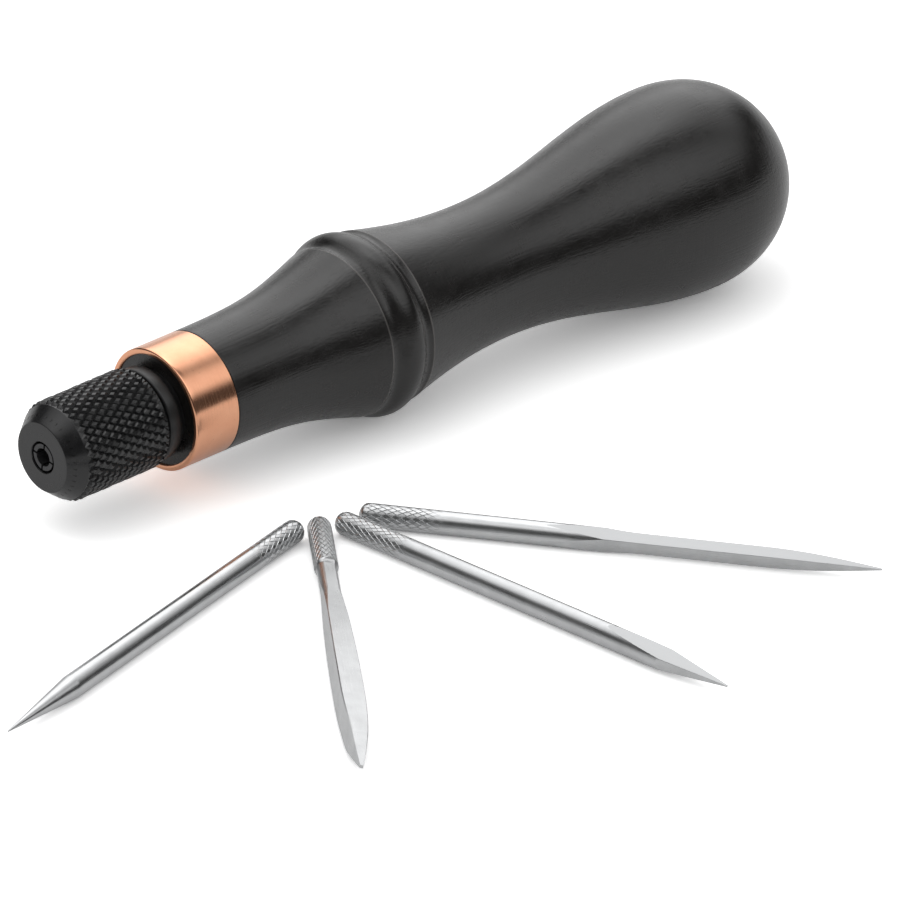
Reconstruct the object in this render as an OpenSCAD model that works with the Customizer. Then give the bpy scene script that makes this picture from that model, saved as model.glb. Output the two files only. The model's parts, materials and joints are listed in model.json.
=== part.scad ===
// Bradawl: a turned wooden handle with a ferrule and a screw chuck, and four loose blades for it.
// The handle lies on a flat surface, on its bead and its bulb, with the chuck's nose towards -X.
// Lengths are in millimetres. A station along the handle is a distance from the chuck's nose.

/* [Handle] */
// Radius of the wood where it meets the ferrule
shoulder_r = 10; // [9.5:0.1:11]
// Length of the hollow flare between the ferrule and the bead
flare_len = 28.7; // [24:0.1:36]
// Radius of the flare at its rear lip
lip_r = 13.8; // [13:0.1:14.4]
// Width of the cove in front of the bead
front_cove_w = 2.1; // [1.4:0.1:2.8]
// Depth of the cove in front of the bead
front_cove_depth = 0.3; // [0.2:0.05:0.5]
// Radius of the bead at its crown
bead_r = 15.05; // [14.8:0.05:16.2]
// Width of the bead
bead_w = 4.2; // [3.4:0.1:5.6]
// Height of the bead's crown above its two edges
bead_rise = 0.7; // [0.4:0.05:1]
// Width of the shallow cove behind the bead
rear_cove_w = 1.9; // [1.2:0.1:2.6]
// Depth of the shallow cove behind the bead
rear_cove_depth = 0.25; // [0.1:0.01:0.4]
// Radius of the grip just behind the bead's rear cove
grip_front_r = 14.2; // [13.4:0.1:14.4]
// Distance from the rear cove to the narrowest point of the waist
cove_to_waist = 22.9; // [17:0.1:28]
// Radius of the waist at its narrowest point
waist_r = 11.2; // [9.5:0.1:12.5]
// Distance from the waist to the widest point of the bulb
waist_to_bulb = 42; // [34:0.5:50]
// Radius of the bulb at its widest point
bulb_r = 17.05; // [16.5:0.05:19]
// Length of the bulb's rounded end
bulb_end_len = 18.7; // [16:0.1:22]

/* [Ferrule] */
// Length of the ferrule
ferrule_len = 8.7; // [7:0.1:11]
// Wall of the ferrule
ferrule_wall = 1; // [0.6:0.1:1.6]
// How far the ferrule stands in front of the wood
ferrule_lip = 0.4; // [0.2:0.1:1]
// Rounding of the ferrule's front edges
ferrule_round = 0.3; // [0.1:0.05:0.45]

/* [Chuck body] */
// Radius of the threaded spigot that the nut screws onto
spigot_r = 6; // [5.5:0.1:6.5]
// Distance from the nose to the front of the spigot
spigot_front = 8.6; // [8:0.1:10]
// Radius of the smooth collar behind the nut
collar_r = 7.6; // [7:0.1:8.2]
// Length of the smooth collar
collar_len = 2.5; // [1.8:0.1:3.5]
// Radius of the neck between the collar and the wood
neck_r = 6.6; // [5.8:0.1:6.9]
// Length of the neck between the collar and the wood
neck_len = 1.1; // [0.6:0.1:2]
// Rounding of the collar's edges
collar_round = 0.5; // [0.2:0.05:0.8]
// Radius of the tang inside the handle
tang_r = 5; // [4:0.1:5.6]
// Length of the tang inside the handle
tang_len = 31; // [26:1:40]
// Radius of the bore that takes the collet
collet_bore_r = 4.2; // [4:0.05:4.5]
// Radius of the deep hole that takes the blade's shank
shank_hole_r = 2.2; // [2.1:0.05:2.6]
// Distance from the nose to the bottom of the shank hole
shank_hole_end = 46; // [38:1:50]

/* [Chuck nut] */
// Length of the nut
nut_len = 19.2; // [18:0.1:21]
// Radius of the nut over its knurl
nut_r = 8.2; // [7.8:0.1:9]
// Radius of the flat nose face
nose_r = 5.8; // [5:0.1:6.5]
// Length of the smooth cone between the nose face and the knurl
nose_cone_len = 3.3; // [2.5:0.1:4.5]
// Radius of the hole in the nose face
nose_hole_r = 2.55; // [2.5:0.05:2.9]
// Length of the hole in the nose face
nose_hole_len = 1.2; // [0.9:0.1:1.6]
// Length of the closing cone inside the nut
closing_cone_len = 6.6; // [6:0.1:7]
// Radius of the closing cone at its wide end
closing_cone_r = 4.95; // [4.7:0.05:5.3]
// Bevel around the nut's rear edge
nut_bevel = 0.4; // [0.2:0.1:0.8]
// Room left between the nut and the collar when the nut is tight
nut_gap = 0.4; // [0.2:0.1:1]

/* [Collet] */
// Radius that the jaws grip when the nut is tight
grip_r = 1.5; // [1.4:0.05:1.6]
// How far the jaws lie behind the nose face
jaw_inset = 0.15; // [0.1:0.05:0.4]
// Radius of the jaws' round nose, which lies in the hole in the nose face
jaw_nose_r = 2.2; // [2:0.05:2.3]
// Length of the jaws' gripping bore
grip_len = 7.7; // [6.4:0.1:8]
// Radius of the jaws' slim part
jaw_neck_r = 3.3; // [3.1:0.05:3.5]
// Distance from the nose to the back of the jaws' conical head
jaw_head_end = 6.6; // [6:0.1:7]
// Length of the slope behind the jaws' head
jaw_head_slope_len = 1.3; // [1:0.1:1.6]
// Width of the slits between the jaws when the nut is tight
slit_w = 0.35; // [0.25:0.05:0.5]
// Distance from the nose to the front of the collet's ring
ring_front = 14.9; // [14.5:0.1:15.5]
// Length of the collet's ring
ring_len = 2.5; // [2:0.1:3]
// Radius of the rounded heel that each jaw swings on
heel_r = 0.5; // [0.4:0.05:0.6]
// Length of the rounded heel
heel_len = 2.8; // [2.2:0.1:3]
// Distance from the chuck's axis to the heel
heel_offset = 2.9; // [2.8:0.05:3]
// Depth of the heel's centre behind the ring's front face
heel_depth = 0.4; // [0.3:0.05:0.5]
// Thickness of the stem between the heel and the jaw
stem_t = 0.5; // [0.4:0.05:0.6]
// Turn of the collet about the chuck's axis
collet_turn = 55.7; // [0:0.1:90]

/* [Blades] */
// Diameter of the blades' shanks
blade_d = 3.8; // [3.2:0.1:4]
// Height of the dome on the knurled end of a blade
dome_h = 1; // [0.6:0.1:1.6]
// Half thickness of a blade's tip
tip_r = 0.12; // [0.1:0.01:0.2]

/* [Round awl] */
// Length of the round awl
awl_len = 80.5; // [70:0.1:95]
// Length of its conical point
awl_point_len = 17; // [12:0.5:24]
// Direction that it points in
awl_yaw = -164.4; // [-180:0.1:180]

/* [Leaf blade] */
// Length of the leaf blade
leaf_len = 83; // [76:0.1:95]
// Length of its thick round end
leaf_barrel_len = 15.6; // [13:0.1:18]
// Diameter of its round neck
leaf_neck_d = 3.2; // [2.9:0.1:3.6]
// Thickness across the flats of its neck
leaf_neck_t = 2; // [1.8:0.1:2.4]
// Distance from its end to the start of the leaf
leaf_start = 25; // [22:0.5:28]
// Distance from its end to the widest part of the leaf
leaf_widest = 60; // [54:0.5:64]
// Thickness across the leaf's flats at its widest
leaf_t = 3.8; // [3.4:0.1:4.4]
// Length of the bevel at its tip
leaf_bevel_len = 11; // [8:0.5:12]
// Direction that it points in
leaf_yaw = -127.8; // [-180:0.1:180]
// How far it is rolled over
leaf_roll = -15; // [-40:0.5:40]

/* [Spear blade] */
// Length of the spear blade
spear_len = 81.1; // [70:0.1:95]
// Length of the two flats that thin its point
spear_flat_len = 24.3; // [18:0.1:30]
// Length of the two bevels that narrow its point
spear_bevel_len = 13.2; // [9:0.1:16]
// Depth of the scoop that starts each bevel
spear_scoop_depth = 0.32; // [0.1:0.02:0.5]
// Length of the scoop that starts each bevel
spear_scoop_len = 1.2; // [0.6:0.1:2]
// Direction that it points in
spear_yaw = -86.6; // [-180:0.1:180]
// How far it is rolled over
spear_roll = 7; // [-40:0.5:40]

/* [Square blade] */
// Length of the square blade
square_len = 81.9; // [74:0.1:95]
// Thickness across its flats
square_t = 2.3; // [2:0.1:2.6]
// Distance from its end to the start of the flats
square_start = 29; // [26:0.5:32]
// Length over which the flats come out of the round shank
square_run_len = 16; // [12:0.5:20]
// Length of its tapered point
square_point_len = 18.8; // [14:0.1:22]
// Direction that it points in
square_yaw = -56.3; // [-180:0.1:180]
// How far it is rolled over
square_roll = 17.5; // [-40:0.5:40]

/* [Layout] */
// Distance from the nose to the middle of the blades' knurled ends
fan_x = 33.5; // [20:0.5:60]
// Gap between the ferrule's side and the blades' knurled ends
fan_gap = 18.2; // [8:0.1:40]

/* [Hidden] */
$fn = 96;
// Points along each curve of a turned outline
curve_steps = 14;
// Points along each small rounding
round_steps = 5;
// Radial room of turning and sliding fits
run_clear = 0.05;
// Radial room of glued and pressed fits
seat_clear = 0.03;
// Room between the jaws and the nut's closing cone
jaw_clear = 0.14;
// Room between the jaws' roots and the ring
root_clear = 0.2;
// Overrun of every cut
overrun = 1;
// Shares of each curve's length that its handles take, near end then far end
flare_shares = [0.5, 0.37];
waist_front_shares = [0.32, 0.37];
waist_rear_shares = [0.4, 0.33];
bulb_end_shares = [0.6, 0.58];
leaf_flare_shares = [0.2, 0.62];
leaf_taper_shares = [0.36, 0.22];
square_run_shares = [0.4, 0.45];
square_point_shares = [0.42, 0.27];
// Rise over run of the flare at its lip, and of the grip where it leaves the bead
flare_slope_share = 0.3;
grip_slope_share = 0.235;
// Half thickness of the leaf and of the square point where their last curves leave for the tip
leaf_tip_share = 0.52;
square_tip_share = 0.48;
// Part of the round neck's radius that is left where the leaf's side flats start
leaf_side_share = 0.93;
// Places of the blades' ends around the middle of the fan, in shank diameters
awl_end_shares = [-1.51, 0.19];
leaf_end_shares = [-0.64, -0.06];
spear_end_shares = [0.14, -0.41];
square_end_shares = [1.16, -0.52];

blade_r = blade_d / 2;
ferrule_r = shoulder_r;
ferrule_ri = ferrule_r - ferrule_wall;
tenon_r = ferrule_ri - seat_clear;
bead_edge_r = bead_r - bead_rise;
collar_front = nut_len + nut_gap;
collar_end = collar_front + collar_len;
wood_front = collar_end + neck_len;
ferrule_front = wood_front - ferrule_lip;
ferrule_end = ferrule_front + ferrule_len;
lip_at = ferrule_end + flare_len;
bead_front = lip_at + front_cove_w;
bead_at = bead_front + bead_w / 2;
bead_end = bead_front + bead_w;
grip_front = bead_end + rear_cove_w;
waist_at = grip_front + cove_to_waist;
bulb_at = waist_at + waist_to_bulb;
handle_end = bulb_at + bulb_end_len;
tang_end = wood_front + tang_len;
ring_end = ring_front + ring_len;
heel_at = ring_front + heel_depth;
grip_end = jaw_inset + grip_len;
jaw_root = ring_front - root_clear;

// A cubic curve through its first and last point
function bezier(p0, p1, p2, p3) = [
    for (i = [0 : curve_steps])
        let (t = i / curve_steps, s = 1 - t)
        s * s * s * p0 + 3 * s * s * t * p1 + 3 * s * t * t * p2 + t * t * t * p3
];

// A hollow between two points of a turned outline
function cove(r0, u0, r1, u1, depth) = [
    for (i = [1 : round_steps])
        let (t = i / (round_steps + 1))
        [r0 + (r1 - r0) * t - depth * sin(180 * t), u0 + (u1 - u0) * t]
];

// The round crown of the bead, on an arc through its two edges
function crown(r, u0, u1, rise) =
    let (half = (u1 - u0) / 2)
    let (radius = (half * half + rise * rise) / (2 * rise), reach = asin(half / radius))
    [for (i = [0 : 2 * round_steps])
        let (a = reach * (i / round_steps - 1))
        [r - radius + radius * cos(a), (u0 + u1) / 2 + radius * sin(a)]];

// A quarter-round edge about a centre, from one angle to another
function edge(r, u, radius, from, to) = [
    for (i = [0 : round_steps])
        let (a = from + (to - from) * i / round_steps)
        [r + radius * cos(a), u + radius * sin(a)]
];

flare_curve = bezier(
    [shoulder_r, ferrule_end],
    [shoulder_r, ferrule_end + flare_len * flare_shares[0]],
    [lip_r - flare_len * flare_shares[1] * flare_slope_share, lip_at - flare_len * flare_shares[1]],
    [lip_r, lip_at]);
waist_front_curve = bezier(
    [grip_front_r, grip_front],
    [grip_front_r - cove_to_waist * waist_front_shares[0] * grip_slope_share,
     grip_front + cove_to_waist * waist_front_shares[0]],
    [waist_r, waist_at - cove_to_waist * waist_front_shares[1]],
    [waist_r, waist_at]);
waist_rear_curve = bezier(
    [waist_r, waist_at],
    [waist_r, waist_at + waist_to_bulb * waist_rear_shares[0]],
    [bulb_r, bulb_at - waist_to_bulb * waist_rear_shares[1]],
    [bulb_r, bulb_at]);
bulb_end_curve = bezier(
    [bulb_r, bulb_at],
    [bulb_r, bulb_at + bulb_end_len * bulb_end_shares[0]],
    [bulb_r * bulb_end_shares[1], handle_end],
    [0, handle_end]);
bead_curve = crown(bead_r, bead_front, bead_end, bead_rise);

// All points of a curve but its first, which ends the curve before it
function after_first(points) = [for (i = [1 : len(points) - 1]) points[i]];

// Height of the surface under the handle's axis at station zero, for a set of outline points and a tilt
function support(points, tilt) = max([for (p = points) p[0] * cos(tilt) - p[1] * sin(tilt)]);

// The handle's tilt, at which the bead and the bulb both touch the surface
bulb_curve = concat(waist_rear_curve, bulb_end_curve);
first_tilt = atan((bulb_r - bead_r) / (bulb_at - bead_at));
tilt_error = support(bulb_curve, first_tilt) - support(bead_curve, first_tilt);
handle_tilt = first_tilt + atan(tilt_error / (bulb_at - bead_at));
nose_height = support(bulb_curve, handle_tilt);

// The leaf blade rests on its round end and on the lowest edge of the leaf
leaf_support = leaf_t / 2 * (cos(leaf_roll) + abs(sin(leaf_roll)));
leaf_pitch = asin((leaf_support - blade_r) / (leaf_widest - dome_h));

// Places of the blades' round ends and of their tips
fan_y = -(ferrule_r + fan_gap);
function blade_end(shares) = [fan_x, fan_y] + blade_d * shares;
function blade_tip(shares, length, yaw) = blade_end(shares) + length * [cos(yaw), sin(yaw)];
tips = [
    blade_tip(awl_end_shares, awl_len, awl_yaw),
    blade_tip(leaf_end_shares, leaf_len, leaf_yaw),
    blade_tip(spear_end_shares, spear_len, spear_yaw),
    blade_tip(square_end_shares, square_len, square_yaw)
];

// The middle of the whole set's footprint is the origin
low_x = min([for (t = tips) t[0]]);
low_y = min([for (t = tips) t[1]]);
high_x = max(handle_end * cos(handle_tilt), max([for (t = tips) t[0]]));
set_middle = [(low_x + high_x) / 2, (low_y + bulb_r) / 2];

// Puts a turned piece, drawn upright from the nose, on the handle's axis
module on_axis() {
    translate([-set_middle[0], -set_middle[1], nose_height])
        rotate([0, 90 - handle_tilt, 0])
            children();
}

// Lays a blade, drawn upright from its knurled end, on the surface, with its tip raised by a pitch
module lay_blade(shares, yaw, roll, pitch = 0) {
    place = blade_end(shares) - set_middle;
    translate([place[0], place[1], blade_r * cos(pitch) - dome_h * sin(pitch)])
        rotate([0, 90 - pitch, yaw])
            rotate([0, 0, roll])
                children();
}

module handle() {
    color("#1d1c1c")
        on_axis()
            rotate_extrude()
                polygon(concat(
                    [[tang_r + seat_clear, wood_front], [tenon_r, wood_front], [tenon_r, ferrule_end]],
                    flare_curve,
                    cove(lip_r, lip_at, bead_edge_r, bead_front, front_cove_depth),
                    bead_curve,
                    cove(bead_edge_r, bead_end, grip_front_r, grip_front, rear_cove_depth),
                    waist_front_curve,
                    after_first(waist_rear_curve),
                    after_first(bulb_end_curve),
                    [[0, tang_end], [tang_r + seat_clear, tang_end]]));
}

module ferrule() {
    color("#cb8a63")
        on_axis()
            rotate_extrude()
                polygon(concat(
                    edge(ferrule_ri + ferrule_round, ferrule_front + ferrule_round, ferrule_round, 180, 270),
                    edge(ferrule_r - ferrule_round, ferrule_front + ferrule_round, ferrule_round, -90, 0),
                    [[ferrule_r, ferrule_end], [ferrule_ri, ferrule_end]]));
}

module chuck_body() {
    color("#242424")
        on_axis()
            rotate_extrude()
                polygon(concat(
                    [[collet_bore_r, spigot_front], [spigot_r, spigot_front], [spigot_r, collar_front]],
                    edge(collar_r - collar_round, collar_front + collar_round, collar_round, -90, 0),
                    edge(collar_r - collar_round, collar_end - collar_round, collar_round, 0, 90),
                    [[neck_r, collar_end], [neck_r, wood_front], [tang_r, wood_front],
                     [tang_r, tang_end], [0, tang_end], [0, shank_hole_end],
                     [shank_hole_r, shank_hole_end], [shank_hole_r, ring_end + run_clear],
                     [collet_bore_r, ring_end + run_clear]]));
}

module chuck_nut() {
    step_at = nose_hole_len + closing_cone_len;
    color("#242424")
        on_axis()
            rotate_extrude()
                polygon([
                    [nose_hole_r, 0], [nose_r, 0], [nut_r, nose_cone_len], [nut_r, nut_len - nut_bevel],
                    [nut_r - nut_bevel, nut_len], [spigot_r + run_clear, nut_len],
                    [spigot_r + run_clear, step_at], [closing_cone_r, step_at],
                    [nose_hole_r, nose_hole_len]]);
}

// Radius of the jaws' head, which follows the nut's closing cone
function head_r(u) =
    nose_hole_r - jaw_clear + (u - nose_hole_len) * (closing_cone_r - nose_hole_r) / closing_cone_len;

// One jaw, facing local +X
module jaw() {
    intersection() {
        rotate_extrude()
            polygon([
                [grip_r, jaw_inset], [jaw_nose_r, jaw_inset],
                [jaw_nose_r, nose_hole_len], [head_r(jaw_head_end), jaw_head_end],
                [jaw_neck_r, jaw_head_end + jaw_head_slope_len], [jaw_neck_r, jaw_root],
                [shank_hole_r, jaw_root], [shank_hole_r, grip_end], [grip_r, grip_end]]);
        translate([slit_w / sqrt(2), 0, 0])
            rotate([0, 0, -45])
                cube([closing_cone_r, closing_cone_r, ring_front]);
    }
    translate([heel_offset - stem_t / 2, -heel_len / 2, jaw_root - root_clear])
        cube([stem_t, heel_len, heel_at - jaw_root + root_clear]);
    heel(heel_r, heel_len);
}

// A round bar across the jaw's root, facing local +X
module heel(radius, length) {
    translate([heel_offset, length / 2, heel_at])
        rotate([90, 0, 0])
            cylinder(r = radius, h = length);
}

module collet_jaw(number) {
    color("#3a3a3a")
        on_axis()
            rotate([0, 0, collet_turn + 90 * (number - 1)])
                jaw();
}

module collet_ring() {
    color("#3a3a3a")
        on_axis()
            rotate([0, 0, collet_turn])
                difference() {
                    translate([0, 0, ring_front])
                        cylinder(r = collet_bore_r - run_clear, h = ring_len);
                    translate([0, 0, ring_front - overrun])
                        cylinder(r = shank_hole_r, h = ring_len + 2 * overrun);
                    for (quarter = [0 : 3])
                        rotate([0, 0, 90 * quarter])
                            heel(heel_r + run_clear, heel_len + 2 * root_clear);
                }
}

// A blade's shank with its domed, knurled end at the origin
module shank(length) {
    dome_r = (blade_r * blade_r + dome_h * dome_h) / (2 * dome_h);
    intersection() {
        cylinder(r = blade_r, h = length);
        translate([0, 0, dome_r])
            cylinder(r = blade_r + overrun, h = length);
    }
    intersection() {
        cylinder(r = blade_r, h = dome_r);
        translate([0, 0, dome_r])
            sphere(r = dome_r);
    }
}

module round_awl() {
    color("#b4b6b8")
        lay_blade(awl_end_shares, awl_yaw, 0) {
            shank(awl_len - awl_point_len);
            translate([0, 0, awl_len - awl_point_len])
                cylinder(r1 = blade_r, r2 = tip_r, h = awl_point_len);
        }
}

// A closed outline from half widths and stations, mirrored about the axis
function mirrored(points) = concat(
    points,
    [for (i = [len(points) - 1 : -1 : 0]) [-points[i][0], points[i][1]]]
);

// A bar with four flats: half thicknesses upwards and half widths sideways, along its length
module flats(thick, wide) {
    reach = 2 * blade_d;
    intersection() {
        translate([0, reach / 2, 0])
            rotate([90, 0, 0])
                linear_extrude(height = reach)
                    polygon(mirrored(thick));
        rotate([0, 0, 90])
            translate([0, reach / 2, 0])
                rotate([90, 0, 0])
                    linear_extrude(height = reach)
                        polygon(mirrored(wide));
    }
}

module leaf_blade() {
    leaf_half = leaf_t / 2;
    neck_half = leaf_neck_t / 2;
    side_half = leaf_side_share * leaf_neck_d / 2;
    flare_run = leaf_widest - leaf_start;
    taper_run = leaf_len - leaf_widest;
    bevel_at = leaf_len - leaf_bevel_len;
    flare_handle = [leaf_half, leaf_widest - flare_run * leaf_flare_shares[1]];
    flare = bezier([neck_half, leaf_start], [neck_half, leaf_start + flare_run * leaf_flare_shares[0]],
                   flare_handle, [leaf_half, leaf_widest]);
    side_flare = bezier([side_half, leaf_start], [side_half, leaf_start + flare_run * leaf_flare_shares[0]],
                        flare_handle, [leaf_half, leaf_widest]);
    taper = after_first(bezier(
        [leaf_half, leaf_widest],
        [leaf_half, leaf_widest + taper_run * leaf_taper_shares[0]],
        [leaf_half * leaf_tip_share, leaf_len - taper_run * leaf_taper_shares[1]],
        [tip_r, leaf_len]));
    thick = concat([[neck_half, leaf_barrel_len]], flare,
                   [for (p = taper) if (p[1] < bevel_at) p], [[tip_r, leaf_len]]);
    wide = concat([[leaf_neck_d / 2, leaf_barrel_len], [leaf_neck_d / 2, leaf_start - leaf_neck_d]],
                  side_flare, taper);
    color("#b4b6b8")
        lay_blade(leaf_end_shares, leaf_yaw, leaf_roll, leaf_pitch) {
            shank(leaf_barrel_len);
            intersection() {
                flats(thick, wide);
                rotate_extrude()
                    polygon([
                        [0, leaf_barrel_len], [leaf_neck_d / 2, leaf_barrel_len],
                        [leaf_neck_d / 2, leaf_start], [leaf_t, leaf_widest], [leaf_t, leaf_len],
                        [0, leaf_len]]);
            }
        }
}

module spear_blade() {
    bevel_at = spear_len - spear_bevel_len;
    thick = [[blade_r, 0], [blade_r, spear_len - spear_flat_len], [tip_r, spear_len]];
    wide = [
        [blade_r, 0], [blade_r, bevel_at],
        [blade_r - 2 * spear_scoop_depth / 3, bevel_at + spear_scoop_len / 3],
        [blade_r - spear_scoop_depth, bevel_at + spear_scoop_len],
        [tip_r, spear_len]];
    color("#b4b6b8")
        lay_blade(spear_end_shares, spear_yaw, spear_roll)
            intersection() {
                shank(spear_len);
                flats(thick, wide);
            }
}

module square_blade() {
    square_half = square_t / 2;
    run_end = square_start + square_run_len;
    point_at = square_len - square_point_len;
    sides = concat(
        [[blade_r, 0]],
        bezier([blade_r, square_start],
               [blade_r, square_start + square_run_len * square_run_shares[0]],
               [square_half, run_end - square_run_len * square_run_shares[1]],
               [square_half, run_end]),
        bezier([square_half, point_at],
               [square_half, point_at + square_point_len * square_point_shares[0]],
               [square_half * square_tip_share, square_len - square_point_len * square_point_shares[1]],
               [tip_r, square_len]));
    color("#b4b6b8")
        lay_blade(square_end_shares, square_yaw, square_roll)
            intersection() {
                shank(square_len);
                flats(sides, sides);
            }
}

handle();
ferrule();
chuck_body();
collet_ring();
collet_jaw(1);  // collet_jaw_1
collet_jaw(2);  // collet_jaw_2
collet_jaw(3);  // collet_jaw_3
collet_jaw(4);  // collet_jaw_4
chuck_nut();
round_awl();
leaf_blade();
spear_blade();
square_blade();
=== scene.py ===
"""Looks of a bradawl: a turned handle with a collet chuck, and four loose blades in front of it.

Lengths are in millimetres unless a name ends in _m. Each piece is drawn upright in its own frame,
from its front end along Z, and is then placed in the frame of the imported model.
"""

import json
import logging
import math
from collections.abc import Callable, Sequence
from dataclasses import dataclass, field
from enum import Enum
from typing import Any

import bpy
import numpy as np
from mathutils import Matrix, Vector


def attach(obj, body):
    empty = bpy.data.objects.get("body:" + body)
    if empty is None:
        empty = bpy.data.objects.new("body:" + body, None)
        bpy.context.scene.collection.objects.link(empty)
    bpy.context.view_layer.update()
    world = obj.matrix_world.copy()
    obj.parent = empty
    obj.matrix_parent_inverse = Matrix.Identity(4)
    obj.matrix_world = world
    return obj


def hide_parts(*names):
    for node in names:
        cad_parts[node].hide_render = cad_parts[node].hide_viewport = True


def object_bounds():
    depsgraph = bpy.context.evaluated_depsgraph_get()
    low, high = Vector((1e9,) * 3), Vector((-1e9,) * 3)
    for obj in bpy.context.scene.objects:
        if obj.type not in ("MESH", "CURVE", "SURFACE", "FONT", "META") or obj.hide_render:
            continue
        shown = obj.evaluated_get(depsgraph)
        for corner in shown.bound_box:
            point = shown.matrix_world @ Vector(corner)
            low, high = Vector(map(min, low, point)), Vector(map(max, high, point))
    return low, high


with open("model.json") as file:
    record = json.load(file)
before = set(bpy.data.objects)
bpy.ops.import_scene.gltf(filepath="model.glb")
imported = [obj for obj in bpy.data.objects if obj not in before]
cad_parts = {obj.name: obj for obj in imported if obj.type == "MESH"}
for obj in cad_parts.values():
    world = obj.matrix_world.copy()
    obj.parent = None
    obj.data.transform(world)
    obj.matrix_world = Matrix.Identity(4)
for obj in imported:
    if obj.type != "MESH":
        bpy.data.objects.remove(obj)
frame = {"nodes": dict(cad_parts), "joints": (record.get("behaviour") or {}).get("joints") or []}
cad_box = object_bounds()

log = logging.getLogger("bradawl")

MM = 0.001
TAU = 2 * math.pi
OWN_PLACE = "own_place"
GROUND_FLAT = "ground_flat"
FLAT_TOLERANCE = 1e-4
STATION_DIGITS = 5
KNURL_SINK = 1 / 3  # share of a diamond's height that is set into the core

Piece = bpy.types.Object
Tree = bpy.types.NodeTree
Socket = bpy.types.NodeSocket
Span = tuple[float, float]
Outline = list[tuple[float, float]]
Colour = tuple[float, float, float, float]
Profile = Callable[[np.ndarray], np.ndarray]
Ripple = Callable[[np.ndarray, float, np.ndarray], np.ndarray]


# ---------------------------------------------------------------- shapes


@dataclass
class Shell:
    """A closed surface in a piece's own frame.

    Attributes:
        points: One row of three coordinates for each point.
        faces: Point numbers of each face.
    """

    points: np.ndarray
    faces: list[list[int]]

    def outward(self) -> "Shell":
        """Turns the faces by the sign of the volume that they enclose.

        Returns:
            The shell with its faces pointing outwards.
        """
        volume = 0.0
        for face in self.faces:
            first = self.points[face[0]]
            for second, third in zip(face[1:-1], face[2:]):
                volume += float(np.dot(first, np.cross(self.points[second], self.points[third])))
        faces = self.faces if volume > 0 else [face[::-1] for face in self.faces]
        return Shell(self.points, faces)

    def joined(self, other: "Shell") -> "Shell":
        """Joins this shell and another.

        Args:
            other: The other shell, in the same frame.

        Returns:
            Both as one shell.
        """
        offset = len(self.points)
        moved = [[offset + corner for corner in face] for face in other.faces]
        return Shell(np.vstack([self.points, other.points]), self.faces + moved)


def ring_shell(rings: Sequence[np.ndarray], closed: bool = False) -> Shell:
    """Skins a row of rings.

    Args:
        rings: Points of each ring; a ring of one point is a pole.
        closed: Whether the last ring joins the first, as in a tube.

    Returns:
        The shell, with its faces pointing outwards.
    """
    starts = np.cumsum([0] + [len(ring) for ring in rings])
    faces: list[list[int]] = []
    last = len(rings) if closed else len(rings) - 1
    for row in range(last):
        following = (row + 1) % len(rings)
        near, far = starts[row], starts[following]
        count = max(len(rings[row]), len(rings[following]))
        for k in range(count):
            after = (k + 1) % count
            corners = [near + k, near + after] if len(rings[row]) > 1 else [near]
            corners += [far + after, far + k] if len(rings[following]) > 1 else [far]
            faces.append([int(corner) for corner in corners])
    return Shell(np.vstack(rings), faces).outward()


def turned_shell(outline: Outline, segments: int, ripple: Ripple | None = None) -> Shell:
    """Turns an outline about Z.

    Args:
        outline: Radius and station of each point; it starts and ends on the axis, or it is a loop.
        segments: Points around.
        ripple: Changes radii, given the angles, the station and the radii.

    Returns:
        The turned shell.
    """
    angles = np.arange(segments) * TAU / segments
    rings = []
    for radius, station in outline:
        if radius <= 0:
            rings.append(np.array([[0.0, 0.0, station]]))
            continue
        radii = np.full(segments, radius)
        if ripple is not None:
            radii = ripple(angles, station, radii)
        rings.append(np.column_stack([
            radii * np.cos(angles), radii * np.sin(angles), np.full(segments, station)]))
    return ring_shell(rings, closed=outline[0][0] > 0)


def bezier(points: Sequence[tuple[float, float]], steps: int) -> Outline:
    """Draws a cubic curve.

    Args:
        points: Its start, its two leads and its end.
        steps: Steps along it.

    Returns:
        The points along it.
    """
    start, lead, trail, end = (np.array(point) for point in points)
    curve = []
    for step in range(steps + 1):
        t = step / steps
        s = 1 - t
        x, y = s**3 * start + 3 * s * s * t * lead + 3 * s * t * t * trail + t**3 * end
        curve.append((float(x), float(y)))
    return curve


def arc(radius: float, station: float, bend: float, start: float, end: float,
        steps: int = 6) -> Outline:
    """Returns points of an arc about a centre, from one angle in degrees to another."""
    turns = [math.radians(start + (end - start) * step / steps) for step in range(steps + 1)]
    return [(radius + bend * math.cos(a), station + bend * math.sin(a)) for a in turns]


def wave(start: tuple[float, float], end: tuple[float, float], depth: float,
         steps: int = 10) -> Outline:
    """Draws a hollow, or a swell if its depth is negative.

    Args:
        start: Radius and station before it.
        end: Radius and station past it.
        depth: Its depth at its middle.
        steps: Steps along it.

    Returns:
        Its points, without the start and the end.
    """
    inner = []
    for step in range(1, steps):
        t = step / steps
        radius = start[0] + (end[0] - start[0]) * t - depth * math.sin(math.pi * t)
        inner.append((radius, start[1] + (end[1] - start[1]) * t))
    return inner


def spread(outline: Outline, spacing: float) -> Outline:
    """Sets more points on an outline's long straight runs.

    Args:
        outline: The outline.
        spacing: The greatest distance between points.

    Returns:
        The outline with its new points.
    """
    dense = [outline[0]]
    for (r0, u0), (r1, u1) in zip(outline, outline[1:]):
        steps = max(1, math.ceil(math.hypot(r1 - r0, u1 - u0) / spacing))
        dense += [(r0 + (r1 - r0) * k / steps, u0 + (u1 - u0) * k / steps)
                  for k in range(1, steps + 1)]
    return dense


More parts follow.
